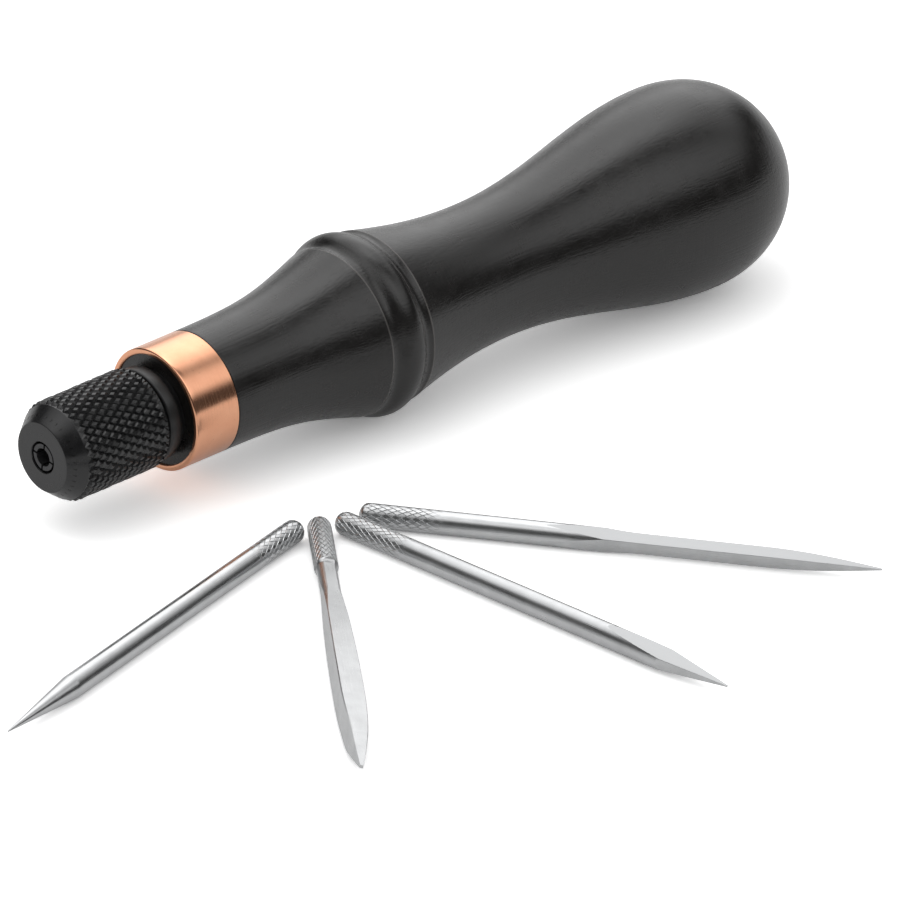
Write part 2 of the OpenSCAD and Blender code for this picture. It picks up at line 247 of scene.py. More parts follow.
def make_piece(name: str, shell: Shell, place: Matrix, sharp: float = 28.0) -> Piece:
    """Makes an object of a shell.

    Args:
        name: The object's name.
        shell: The surface, in the piece's own frame.
        place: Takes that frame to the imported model's frame, both in millimetres.
        sharp: Angle in degrees from which an edge is shaded as sharp.

    Returns:
        The object, at the origin, with its place in its mesh.
    """
    turn = np.array(place)
    placed = (shell.points @ turn[:3, :3].T + turn[:3, 3]) * MM
    mesh = bpy.data.meshes.new(name)
    mesh.from_pydata(placed.tolist(), [], shell.faces)
    own = mesh.attributes.new(OWN_PLACE, "FLOAT_VECTOR", "POINT")
    own.data.foreach_set("vector", shell.points.astype(np.float32).ravel())
    mesh.polygons.foreach_set("use_smooth", [True] * len(mesh.polygons))
    mesh.set_sharp_from_angle(angle=math.radians(sharp))
    mesh.update()
    piece = bpy.data.objects.new(name, mesh)
    bpy.context.scene.collection.objects.link(piece)
    return piece


# ---------------------------------------------------------------- finishes


def linear(hex_colour: str, alpha: float = 1.0) -> Colour:
    """Turns an sRGB hex colour to linear values.

    Args:
        hex_colour: The colour, as in a style sheet.
        alpha: Its opacity.

    Returns:
        Red, green, blue and opacity.
    """
    values = [int(hex_colour[k:k + 2], 16) / 255 for k in (1, 3, 5)]
    red, green, blue = (
        v / 12.92 if v <= 0.04045 else ((v + 0.055) / 1.055) ** 2.4 for v in values)
    return (red, green, blue, alpha)


def add_node(tree: Tree, kind: str, settings: dict[str, Any] | None = None,
             inputs: dict[Any, Any] | None = None) -> bpy.types.Node:
    """Adds a node to a tree.

    Args:
        tree: The tree.
        kind: The node's type.
        settings: Its properties by name.
        inputs: Its inputs by name or number; a socket is linked and any other value is set.

    Returns:
        The node.
    """
    node = tree.nodes.new(kind)
    for key, value in (settings or {}).items():
        setattr(node, key, value)
    for key, value in (inputs or {}).items():
        if isinstance(value, Socket):
            tree.links.new(value, node.inputs[key])
        else:
            node.inputs[key].default_value = value
    return node


@dataclass(frozen=True)
class Finish:
    """A finish; each kind builds its own nodes.

    Attributes:
        name: The material's name.
        metallic: How far it is a metal, from 0 to 1.
        roughness: Its least and greatest roughness.
        marks_span: The values of its marks at which it has them.
        relief: Strength of its fine relief.
        relief_depth: Depth of that relief.
    """

    name: str
    metallic: float = 0.0
    roughness: Span = (0.2, 0.4)
    marks_span: Span = (0.3, 0.7)
    relief: float = 0.2
    relief_depth: float = 0.01

    def dress(self, piece: Piece) -> None:
        """Gives a piece this finish and no other."""
        piece.data.materials.clear()
        piece.data.materials.append(self.material())

    def material(self) -> bpy.types.Material:
        """Builds the finish's material, once.

        Returns:
            The material.
        """
        made = bpy.data.materials.get(self.name)
        if made is None:
            made = bpy.data.materials.new(self.name)
            made.use_nodes = True
            made.node_tree.nodes.clear()
            shader = self.shader(made.node_tree)
            add_node(made.node_tree, "ShaderNodeOutputMaterial", inputs={"Surface": shader})
        return made

    def shader(self, tree: Tree) -> Socket:
        """Builds the finish's nodes and returns its shader."""
        raise NotImplementedError

    def own_place(self, tree: Tree) -> Socket:
        """Returns the place in the piece's own frame, in millimetres."""
        return add_node(tree, "ShaderNodeAttribute", {
            "attribute_name": OWN_PLACE}).outputs["Vector"]

    def pattern(self, tree: Tree, size: Sequence[float], detail: float,
                roughness: float = 0.5) -> Socket:
        """Builds an uneven pattern in the piece's own frame.

        Args:
            tree: The finish's tree.
            size: Size of a mark along X, Y and Z.
            detail: Number of finer layers.
            roughness: Strength of each finer layer.

        Returns:
            The pattern, from 0 to 1.
        """
        scaled = add_node(tree, "ShaderNodeMapping", inputs={
            "Vector": self.own_place(tree), "Scale": tuple(1 / length for length in size)})
        return add_node(tree, "ShaderNodeTexNoise", inputs={
            "Vector": scaled.outputs[0], "Scale": 1.0,
            "Detail": detail, "Roughness": roughness}).outputs["Fac"]

    def turned_lines(self, tree: Tree, width: float) -> Socket:
        """Builds the fine lines that a lathe leaves, on sides and end faces alike.

        Args:
            tree: The finish's tree.
            width: Width of a line.

        Returns:
            The lines' height, from 0 to 1.
        """
        split = add_node(tree, "ShaderNodeSeparateXYZ", inputs={0: self.own_place(tree)})
        flat = add_node(tree, "ShaderNodeCombineXYZ", inputs={
            0: split.outputs[0], 1: split.outputs[1]})
        radius = add_node(tree, "ShaderNodeVectorMath", {"operation": "LENGTH"}, {
            0: flat.outputs[0]})
        path = add_node(tree, "ShaderNodeMath", {"operation": "ADD"}, {
            0: radius.outputs["Value"], 1: split.outputs[2]})
        return add_node(tree, "ShaderNodeTexNoise", {"noise_dimensions": "1D"}, {
            "W": path.outputs[0], "Scale": 1 / width, "Detail": 3.0}).outputs["Fac"]

    def surface(self, tree: Tree, colour: Socket, marks: Socket, height: Socket,
                matte: tuple[Socket, float] | None = None) -> Socket:
        """Builds the nodes that every finish ends in: sheen, fine relief and the shader.

        Args:
            tree: The finish's tree.
            colour: Its colour.
            marks: The pattern that its roughness follows.
            height: The height of its relief.
            matte: Where it is matte, and its roughness there.

        Returns:
            The shader.
        """
        rough = add_node(tree, "ShaderNodeMapRange", inputs={
            "Value": marks, "From Min": self.marks_span[0], "From Max": self.marks_span[1],
            "To Min": self.roughness[0], "To Max": self.roughness[1]}).outputs[0]
        if matte is not None:
            rough = add_node(tree, "ShaderNodeMix", {"data_type": "FLOAT"}, {
                "Factor": matte[0], "A": rough, "B": matte[1]}).outputs["Result"]
        bump = add_node(tree, "ShaderNodeBump", inputs={
            "Strength": self.relief, "Distance": self.relief_depth * MM, "Height": height})
        return add_node(tree, "ShaderNodeBsdfPrincipled", inputs={
            "Base Color": colour, "Metallic": self.metallic,
            "Roughness": rough, "Normal": bump.outputs[0]}).outputs[0]


@dataclass(frozen=True)
class EbonisedWood(Finish):
    """Close-grained hardwood, turned, stained black and rubbed to a satin.

    To the eye: near black, soft wide bands of light along the top, hair scratches from sanding on
    the lathe, faint smudges from hands and hair-fine pores along the grain. The thin light lines
    along the edges of the lip and the bead are a painted highlight.
    """

    stain: str = "#121110"
    worn: str = "#1d1b1a"
    scratch_width: float = 0.28  # real ones are about 0.05 mm; drawn coarser so that they show
    scratch_length: float = 5.0
    pore_width: float = 0.3
    pore_length: float = 9.0
    pore_edge: Span = (0.3, 0.55)
    pore_share: float = 0.6
    smudge: float = 3.5
    roughness: Span = (0.18, 0.30)
    relief: float = 0.65
    relief_depth: float = 0.03
    # Painted highlight: thin lines of this light colour, at these stations and this width, along
    # the edges of the lip and the bead, where the turned edges catch the light.
    rubbed_and_highlight: str = "#5b5856"
    edge_highlight_at: tuple[float, ...] = (60.2, 66.35, 68.4)
    edge_highlight_width: float = 0.14

    def shader(self, tree: Tree) -> Socket:
        """Builds the wood's nodes.

        Args:
            tree: The wood's tree.

        Returns:
            Its shader.
        """
        scratches = self.pattern(
            tree, (self.scratch_length, self.scratch_length, self.scratch_width),
            detail=3.0, roughness=0.6)
        pores = self.pattern(
            tree, (self.pore_width, self.pore_width, self.pore_length), detail=3.0, roughness=0.6)
        smudges = self.pattern(tree, [self.smudge] * 3, detail=4.0, roughness=0.55)
        pore_depth = add_node(tree, "ShaderNodeMapRange", inputs={
            "Value": pores, "From Min": self.pore_edge[0], "From Max": self.pore_edge[1]})
        wear = add_node(tree, "ShaderNodeMath", {"operation": "MULTIPLY"}, {
            0: smudges, 1: pore_depth.outputs[0]})
        stained = add_node(tree, "ShaderNodeMix", {"data_type": "RGBA"}, {
            "Factor": wear.outputs[0], "A": linear(self.stain), "B": linear(self.worn)})
        # Painted highlight: the light colour laid along the turned edges, broken up by the
        # scratches.
        colour = add_node(tree, "ShaderNodeMix", {"data_type": "RGBA"}, {
            "Factor": self.painted_edge_highlight(tree, scratches), "A": stained.outputs["Result"],
            "B": linear(self.rubbed_and_highlight)})
        height = add_node(tree, "ShaderNodeMath", {"operation": "MULTIPLY_ADD"}, {
            0: pore_depth.outputs[0], 1: self.pore_share, 2: scratches})
        return self.surface(tree, colour.outputs["Result"], smudges, height.outputs[0])

    def painted_edge_highlight(self, tree: Tree, grit: Socket) -> Socket:
        """Builds the painted highlight along the turned edges, drawn as stain worn off them.

        Args:
            tree: The wood's tree.
            grit: A fine pattern that breaks the highlight up.

        Returns:
            The share of the painted highlight colour.
        """
        split = add_node(tree, "ShaderNodeSeparateXYZ", inputs={0: self.own_place(tree)})
        lit_edge = 0.0
        for station in self.edge_highlight_at:
            near = add_node(tree, "ShaderNodeMath", {"operation": "COMPARE"}, {
                0: split.outputs[2], 1: station, 2: self.edge_highlight_width})
            lit_edge = add_node(tree, "ShaderNodeMath", {"operation": "MAXIMUM"}, {
                0: lit_edge, 1: near.outputs[0]}).outputs[0]
        return add_node(tree, "ShaderNodeMath", {"operation": "MULTIPLY"}, {
            0: lit_edge, 1: grit}).outputs[0]


@dataclass(frozen=True)
class TurnedCopper(Finish):
    """Copper tube, turned and polished.

    To the eye: salmon pink metal with sharp bright and dark bands, fine turned lines and some pits.
    """

    fresh: str = "#f1b593"
    aged: str = "#e3a17e"
    pit: str = "#9a6a50"
    pit_spacing: float = 1.1
    pit_edge: Span = (0.03, 0.08)
    pit_share: float = 0.8
    bloom: float = 3.0
    line_width: float = 0.22  # a fine cut leaves lines about 0.1 mm apart; drawn coarser to show
    metallic: float = 1.0
    roughness: Span = (0.14, 0.24)
    relief: float = 0.25
    relief_depth: float = 0.008

    def shader(self, tree: Tree) -> Socket:
        """Builds the copper's nodes.

        Args:
            tree: The copper's tree.

        Returns:
            Its shader.
        """
        lines = self.turned_lines(tree, self.line_width)
        bloom = self.pattern(tree, [self.bloom] * 3, detail=4.0)
        spots = add_node(tree, "ShaderNodeTexVoronoi", inputs={
            "Vector": self.own_place(tree), "Scale": 1 / self.pit_spacing})
        bare = add_node(tree, "ShaderNodeMapRange", inputs={
            "Value": spots.outputs["Distance"],
            "From Min": self.pit_edge[0], "From Max": self.pit_edge[1]})
        tint = add_node(tree, "ShaderNodeMix", {"data_type": "RGBA"}, {
            "Factor": bloom, "A": linear(self.fresh), "B": linear(self.aged)})
        colour = add_node(tree, "ShaderNodeMix", {"data_type": "RGBA"}, {
            "Factor": bare.outputs[0], "A": linear(self.pit), "B": tint.outputs["Result"]})
        height = add_node(tree, "ShaderNodeMath", {"operation": "MULTIPLY_ADD"}, {
            0: bare.outputs[0], 1: self.pit_share, 2: lines})
        return self.surface(tree, colour.outputs["Result"], lines, height.outputs[0])


@dataclass(frozen=True)
class BlackOxideSteel(Finish):
    """Turned steel, blackened in a hot oxide bath.

    To the eye: neutral charcoal, dull and even, with turned lines on smooth faces.
    """

    oxide: str = "#101011"
    rubbed_and_highlight: str = "#1d1d1e"
    bloom: float = 1.6
    line_width: float = 0.25  # a fine cut leaves lines about 0.1 mm apart; drawn coarser to show
    roughness: Span = (0.17, 0.3)
    relief: float = 0.12

    def shader(self, tree: Tree) -> Socket:
        """Builds the oxide's nodes.

        Args:
            tree: The oxide's tree.

        Returns:
            Its shader.
        """
        bloom = self.pattern(tree, [self.bloom] * 3, detail=5.0, roughness=0.6)
        colour = add_node(tree, "ShaderNodeMix", {"data_type": "RGBA"}, {
            "Factor": bloom, "A": linear(self.oxide), "B": linear(self.rubbed_and_highlight)})
        lines = self.turned_lines(tree, self.line_width)
        return self.surface(tree, colour.outputs["Result"], bloom, lines)


@dataclass(frozen=True)
class ColletSteel(Finish):
    """Spring steel of the collet, blackened and rubbed by the blades.

    To the eye: dark grey with a slight metal gleam and a fine mottle.
    """

    oxide: str = "#232324"
    rubbed_and_highlight: str = "#4a4a4b"
    mottle: float = 0.35
    metallic: float = 0.6
    roughness: Span = (0.25, 0.45)
    marks_span: Span = (0.0, 1.0)

    def shader(self, tree: Tree) -> Socket:
        """Builds the collet's nodes, which read Object coordinates.

        Args:
            tree: The collet's tree.

        Returns:
            Its shader.
        """
        place = add_node(tree, "ShaderNodeTexCoord").outputs["Object"]
        spots = add_node(tree, "ShaderNodeTexNoise", inputs={
            "Vector": place, "Scale": 1 / (self.mottle * MM), "Detail": 4.0}).outputs["Fac"]
        colour = add_node(tree, "ShaderNodeMix", {"data_type": "RGBA"}, {
            "Factor": spots, "A": linear(self.oxide), "B": linear(self.rubbed_and_highlight)})
        return self.surface(tree, colour.outputs["Result"], spots, spots)


@dataclass(frozen=True)
class GroundSteel(Finish):
    """Tool steel, hardened and ground bright along its length.

    To the eye: silver grey with sharp dark stripes, hair lines from the wheel along the blade, and
    paler, matte flats where the point was ground.
    """

    bright: str = "#cbcccd"
    dull: str = "#b2b3b4"
    flat: str = "#b3b4b5"
    flat_roughness: float = 0.52
    bloom: float = 2.5
    line_width: float = 0.16  # real scratches are about 0.02 mm; drawn coarser so that they show
    line_length: float = 7.0
    metallic: float = 1.0
    roughness: Span = (0.25, 0.37)
    relief: float = 0.3
    relief_depth: float = 0.006

    def shader(self, tree: Tree) -> Socket:
        """Builds the steel's nodes.

        Args:
            tree: The steel's tree.

        Returns:
            Its shader.
        """
        lines = self.pattern(
            tree, (self.line_width, self.line_width, self.line_length), detail=4.0, roughness=0.65)
        bloom = self.pattern(tree, [self.bloom] * 3, detail=3.0)
        colour = add_node(tree, "ShaderNodeMix", {"data_type": "RGBA"}, {
            "Factor": bloom, "A": linear(self.bright), "B": linear(self.dull)})
        ground = add_node(tree, "ShaderNodeAttribute", {"attribute_name": GROUND_FLAT})
        tone = add_node(tree, "ShaderNodeMix", {"data_type": "RGBA"}, {
            "Factor": ground.outputs["Fac"], "A": colour.outputs["Result"],
            "B": linear(self.flat)})
        return self.surface(tree, tone.outputs["Result"], lines, lines,
                            matte=(ground.outputs["Fac"], self.flat_roughness))


WOOD = EbonisedWood("ebonised_turned_hardwood")
COPPER = TurnedCopper("turned_copper")
OXIDE = BlackOxideSteel("black_oxide_steel")
# Painted shade: a darker copy of the nut's oxide for the chuck's body, standing in for the shade in
# the recess behind the nut.
SHADED_OXIDE = BlackOxideSteel("shaded_black_oxide_steel", oxide="#0b0b0c", rubbed_and_highlight="#151516",
                        roughness=(0.32, 0.46))
COLLET = ColletSteel("blackened_collet_steel")
STEEL = GroundSteel("ground_tool_steel")
POLISHED = GroundSteel("polished_tool_steel", bright="#c9cacb", dull="#b0b1b2",
                       roughness=(0.18, 0.29))


# ---------------------------------------------------------------- knurls


class KnurlEnd(Enum):
    """How a knurl meets the shaped end of its piece."""

    CUT = "the end was turned after the knurl and cuts through it"
    DRAPED = "the knurl runs on over the end"


@dataclass(frozen=True)
class Knurl:
    """A diamond knurl around Z.

    Attributes:
        around: Diamonds around.
        diamond_len: Length of one diamond along the axis.
        start: Station of the first row's middle.
        end: Station past which no row starts.
        root_r: Radius at the bottom of the grooves.
        crest_r: Radius of the diamonds' tops.
        top_share: Part of a diamond's width that is left at its top.
        cut_depth: How far a corner that is cut off is set below the surface.
        least_r: Least radius of a diamond that is draped over an end.
    """

    around: int
    diamond_len: float
    start: float
    end: float
    root_r: float
    crest_r: float
    top_share: float
    cut_depth: float = 0.05
    least_r: float = 0.05

    def shell(self, surface: Profile, end: KnurlEnd, finish: Finish) -> Shell:
        """Builds the diamonds.

        Args:
            surface: Radius of the piece's surface at each station.
            end: How the knurl meets it.
            finish: The finish that the tree sets.

        Returns:
            The diamonds, sunk a little into the piece's core.
        """
        pitch = self.diamond_len / 2
        values = {
            "Around": self.around, "Rows": int((self.end - self.start) / pitch) + 1,
            "Row Pitch": pitch, "Start": self.start, "Root Radius": self.root_r,
            "Crest Radius": self.crest_r, "Top Share": self.top_share,
            "Finish": finish.material()}
        holder = bpy.data.objects.new("knurl", bpy.data.meshes.new("knurl"))
        bpy.context.scene.collection.objects.link(holder)
        tree = knurl_tree()
        modifier = holder.modifiers.new("knurl", "NODES")
        modifier.node_group = tree
        for socket in tree.interface.items_tree:
            if socket.in_out == "INPUT" and socket.name in values:
                modifier[socket.identifier] = values[socket.name]
        depsgraph = bpy.context.evaluated_depsgraph_get()
        mesh = bpy.data.meshes.new_from_object(
            holder.evaluated_get(depsgraph), depsgraph=depsgraph)
        points = np.empty(3 * len(mesh.vertices))
        mesh.vertices.foreach_get("co", points)
        faces = [list(polygon.vertices) for polygon in mesh.polygons]
        bpy.data.objects.remove(holder)
        bpy.data.meshes.remove(mesh)
        return Shell(self.fitted(points.reshape(-1, 3), surface, end), faces)

    def fitted(self, points: np.ndarray, surface: Profile, end: KnurlEnd) -> np.ndarray:
        """Fits the diamonds to the end of their piece.

        Args:
            points: The diamonds' points.
            surface: Radius of the piece's surface at each station.
            end: How the knurl meets it.

        Returns:
            The fitted points.
        """
        radii = np.hypot(points[:, 0], points[:, 1])
        limit = surface(points[:, 2])
        if end is KnurlEnd.CUT:
            fitted = np.where(radii > limit, limit - self.cut_depth, radii)
        else:
            lowered = np.minimum(radii, self.crest_r) - (self.crest_r - limit)
            fitted = np.maximum(lowered, self.least_r)
        scale = (fitted / radii)[:, None]
        return np.hstack([points[:, :2] * scale, points[:, 2:]])


def knurl_tree() -> Tree:
    """Builds the tree that sets rows of diamonds around Z, once.

    Returns:
        The tree.
    """
    made = bpy.data.node_groups.get("knurl_diamonds")
    if made is not None:
        return made
    tree = bpy.data.node_groups.new("knurl_diamonds", "GeometryNodeTree")
    tree.interface.new_socket("Diamonds", in_out="OUTPUT", socket_type="NodeSocketGeometry")
    for name, kind in (
            ("Around", "Int"), ("Rows", "Int"), ("Row Pitch", "Float"), ("Start", "Float"),
            ("Root Radius", "Float"), ("Crest Radius", "Float"), ("Top Share", "Float"),
            ("Finish", "Material")):
        tree.interface.new_socket(name, in_out="INPUT", socket_type=f"NodeSocket{kind}")
    values = dict(add_node(tree, "NodeGroupInput").outputs.items())
    values["index"] = add_node(tree, "GeometryNodeInputIndex").outputs[0]

    for result, operation, operands in (
            # Each point's row and its turn; every other row is set over by half a diamond.
            ("count", "MULTIPLY", ("Around", "Rows")),
            ("share", "DIVIDE", ("index", "Around")),
            ("row", "FLOOR", ("share",)),
            ("odd", "MODULO", ("row", 2.0)),
            ("half", "DIVIDE", (0.5, "Around")),
            ("turn", "MULTIPLY_ADD", ("odd", "half", "share")),
            ("angle", "MULTIPLY", ("turn", TAU)),
            ("cosine", "COSINE", ("angle",)),
            ("sine", "SINE", ("angle",)),
            ("station", "MULTIPLY_ADD", ("row", "Row Pitch", "Start")),
            # The diamonds start below the grooves, so that they join the core, and their feet are
            # wider by as much, so that they meet at the grooves.
            ("height", "SUBTRACT", ("Crest Radius", "Root Radius")),
            ("base", "MULTIPLY_ADD", ("height", -KNURL_SINK, "Root Radius")),
            ("tall", "MULTIPLY", ("height", 1 + KNURL_SINK)),
            ("foot", "MULTIPLY_ADD", ("Top Share", -KNURL_SINK, 1 + KNURL_SINK)),
            ("girth", "MULTIPLY", ("Crest Radius", math.pi)),
            ("width", "DIVIDE", ("girth", "Around"))):
        inputs = {slot: values.get(operand, operand) for slot, operand in enumerate(operands)}
        values[result] = add_node(
            tree, "ShaderNodeMath", {"operation": operation}, inputs).outputs[0]

    points = add_node(tree, "GeometryNodePoints", inputs={"Count": values["count"]})
    radial = add_node(tree, "ShaderNodeCombineXYZ", inputs={
        0: values["cosine"], 1: values["sine"]})
    outward = add_node(tree, "ShaderNodeVectorMath", {"operation": "SCALE"}, {
        0: radial.outputs[0], "Scale": values["base"]})
    along_axis = add_node(tree, "ShaderNodeCombineXYZ", inputs={2: values["station"]})
    seat = add_node(tree, "ShaderNodeVectorMath", {"operation": "ADD"}, {
        0: outward.outputs[0], 1: along_axis.outputs[0]})
    seated = add_node(tree, "GeometryNodeSetPosition", inputs={
        "Geometry": points.outputs[0], "Position": seat.outputs[0]})

    # One diamond: a four-sided point with its top cut off, long along the axis.
    diamond = add_node(tree, "GeometryNodeMeshCone", {"fill_type": "TRIANGLE_FAN"}, {
        "Vertices": 4, "Radius Top": values["Top Share"], "Radius Bottom": values["foot"],
        "Depth": 1.0})
    size = add_node(tree, "ShaderNodeCombineXYZ", inputs={
        0: values["Row Pitch"], 1: values["width"], 2: values["tall"]})
    stand = add_node(
        tree, "FunctionNodeAxesToRotation", {"primary_axis": "Z", "secondary_axis": "X"},
        {0: radial.outputs[0], 1: (0.0, 0.0, 1.0)})
    placed = add_node(tree, "GeometryNodeInstanceOnPoints", inputs={
        "Points": seated.outputs[0], "Instance": diamond.outputs["Mesh"],
        "Rotation": stand.outputs[0], "Scale": size.outputs[0]})
    real = add_node(tree, "GeometryNodeRealizeInstances", inputs={0: placed.outputs[0]})
    dressed = add_node(tree, "GeometryNodeSetMaterial", inputs={
        "Geometry": real.outputs[0], "Material": values["Finish"]})
    add_node(tree, "NodeGroupOutput", inputs={0: dressed.outputs[0]})
    return tree


# ---------------------------------------------------------------- the tool


def joint_named(name: str) -> dict[str, Any]:
    """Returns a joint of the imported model."""
    return next(joint for joint in frame["joints"] if joint["name"] == name)


def tool_axis() -> Matrix:
    """Finds the place of the tool from the axis that its nut turns on.

    Returns:
        The place, in millimetres: the tool's nose at the origin and its length along Z.
    """
    turn = joint_named("nut_turn")
    inward = -Vector(turn["axis"]).normalized()
    across = Vector((0.0, 1.0, 0.0))
    down = across.cross(inward)
    place = Matrix((down, across, inward)).transposed().to_4x4()
    place.translation = Vector(turn["pos_m"]) / MM
    return place


@dataclass
class Handle:
    """The turned handle and its copper ring.

    A field that ends in _leads gives the shares of a curve's run at which its two leads stand.
    """

    place: Matrix
    ferrule_front: float = 22.8
    ferrule_len: float = 8.7
    ferrule_wall: float = 1.0
    ferrule_lip: float = 0.4
    ferrule_round: float = 0.35
    ferrule_bevel: float = 0.1
    ferrule_spacing: float = 0.8
    seat_gap: float = 0.03
    tang_hole_r: float = 5.03
    tang_hole_end: float = 54.2
    shoulder_r: float = 10.0
    shoulder_round: float = 0.25
    flare_len: float = 28.7
    flare_slope: float = 0.3
    flare_leads: Span = (0.5, 0.37)
    lip_r: float = 13.8
    front_cove: float = 2.1
    front_cove_depth: float = 0.3
    bead_r: float = 15.03
    bead_len: float = 4.2
    bead_rise: float = 0.7
    bead_steps: int = 24
    rear_cove: float = 1.9
    rear_cove_depth: float = 0.25
    grip_r: float = 14.2
    grip_to_waist: float = 22.9
    grip_slope: float = 0.235
    grip_leads: Span = (0.32, 0.37)
    waist_r: float = 11.2
    waist_to_bulb: float = 42.0
    bulb_leads: Span = (0.4, 0.33)
    bulb_r: float = 17.02
    bulb_end: float = 18.68
    end_leads: Span = (0.6, 0.58)
    segments: int = 160
    steps: int = 56
    sharp: float = 16.0

    def build(self) -> list[Piece]:
        """Builds the handle and the ring and ties them to their solids.

        Returns:
            The handle and the ring.
        """
        wood = make_piece("turned_handle", turned_shell(self.outline(), self.segments),
                          self.place, self.sharp)
        ring = make_piece("copper_ring", turned_shell(self.ring_outline(), self.segments),
                          self.place)
        self.dress(wood, ring)
        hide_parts("handle")
        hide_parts("ferrule")
        for piece in (wood, ring):
            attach(piece, "handle")
        return [wood, ring]

    def dress(self, wood: Piece, ring: Piece) -> None:
        """Gives the handle and the ring their finishes."""
        WOOD.dress(wood)
        COPPER.dress(ring)

    def ring_outline(self) -> Outline:
        """Draws the copper ring.

        Returns:
            Its outline, a loop.
        """
        inner = self.shoulder_r - self.ferrule_wall
        bend, bevel, front = self.ferrule_round, self.ferrule_bevel, self.ferrule_front
        rear = front + self.ferrule_len
        loop = arc(inner + bend, front + bend, bend, 180, 270)
        loop += arc(self.shoulder_r - bend, front + bend, bend, -90, 0)
        loop += [(self.shoulder_r, rear - bevel), (self.shoulder_r - bevel, rear), (inner, rear)]
        return spread(loop + loop[:1], self.ferrule_spacing)[:-1]

    def outline(self) -> Outline:
        """Draws the handle.

        Returns:
            Its outline, from the tang hole's end to the round rear end.
        """
        wood_front = self.ferrule_front + self.ferrule_lip
        tenon = self.shoulder_r - self.ferrule_wall - self.seat_gap
        shoulder = self.ferrule_front + self.ferrule_len
        inside = [(0.0, self.tang_hole_end), (self.tang_hole_r, self.tang_hole_end),
                  (self.tang_hole_r, wood_front), (tenon, wood_front), (tenon, shoulder)]
        bend = self.shoulder_round
        edge = arc(self.shoulder_r - bend, shoulder + bend, bend, -90, 0)
        lip_at = shoulder + self.flare_len
        lead, trail = (share * self.flare_len for share in self.flare_leads)
        flare = bezier([
            (self.shoulder_r, shoulder), (self.shoulder_r, shoulder + lead),
            (self.lip_r - trail * self.flare_slope, lip_at - trail),
            (self.lip_r, lip_at)], self.steps)
        flare = [point for point in flare if point[1] > shoulder + bend]
        return inside + edge + flare + self.bead(lip_at) + self.grip(lip_at)

    def bead(self, lip_at: float) -> Outline:
        """Draws the bead between its two hollows.

        Args:
            lip_at: Station of the lip in front of it.

        Returns:
            The outline of the hollows and the bead.
        """
        front = lip_at + self.front_cove
        rear = front + self.bead_len
        edge_r = self.bead_r - self.bead_rise
        half = self.bead_len / 2
        bend = (half**2 + self.bead_rise**2) / (2 * self.bead_rise)
        reach = math.degrees(math.asin(half / bend))
        crown = arc(self.bead_r - bend, front + half, bend, -reach, reach, self.bead_steps)
        hollow = wave((self.lip_r, lip_at), (edge_r, front), self.front_cove_depth)
        behind = wave((edge_r, rear), (self.grip_r, rear + self.rear_cove), self.rear_cove_depth)
        return hollow + crown + behind

    def grip(self, lip_at: float) -> Outline:
        """Draws the grip.

        Args:
            lip_at: Station of the lip in front of the bead.

        Returns:
            Its outline, from behind the bead to the round rear end.
        """
        front = lip_at + self.front_cove + self.bead_len + self.rear_cove
        waist = front + self.grip_to_waist
        bulb = waist + self.waist_to_bulb
        end = bulb + self.bulb_end
        lead, trail = (share * self.grip_to_waist for share in self.grip_leads)
        slim = bezier([
            (self.grip_r, front), (self.grip_r - lead * self.grip_slope, front + lead),
            (self.waist_r, waist - trail), (self.waist_r, waist)], self.steps)
        lead, trail = (share * self.waist_to_bulb for share in self.bulb_leads)
        swell = bezier([
            (self.waist_r, waist), (self.waist_r, waist + lead),
            (self.bulb_r, bulb - trail), (self.bulb_r, bulb)], self.steps)
        dome = bezier([
            (self.bulb_r, bulb), (self.bulb_r, bulb + self.end_leads[0] * self.bulb_end),
            (self.end_leads[1] * self.bulb_r, end), (0.0, end)], self.steps)
        return slim + swell[1:] + dome[1:]


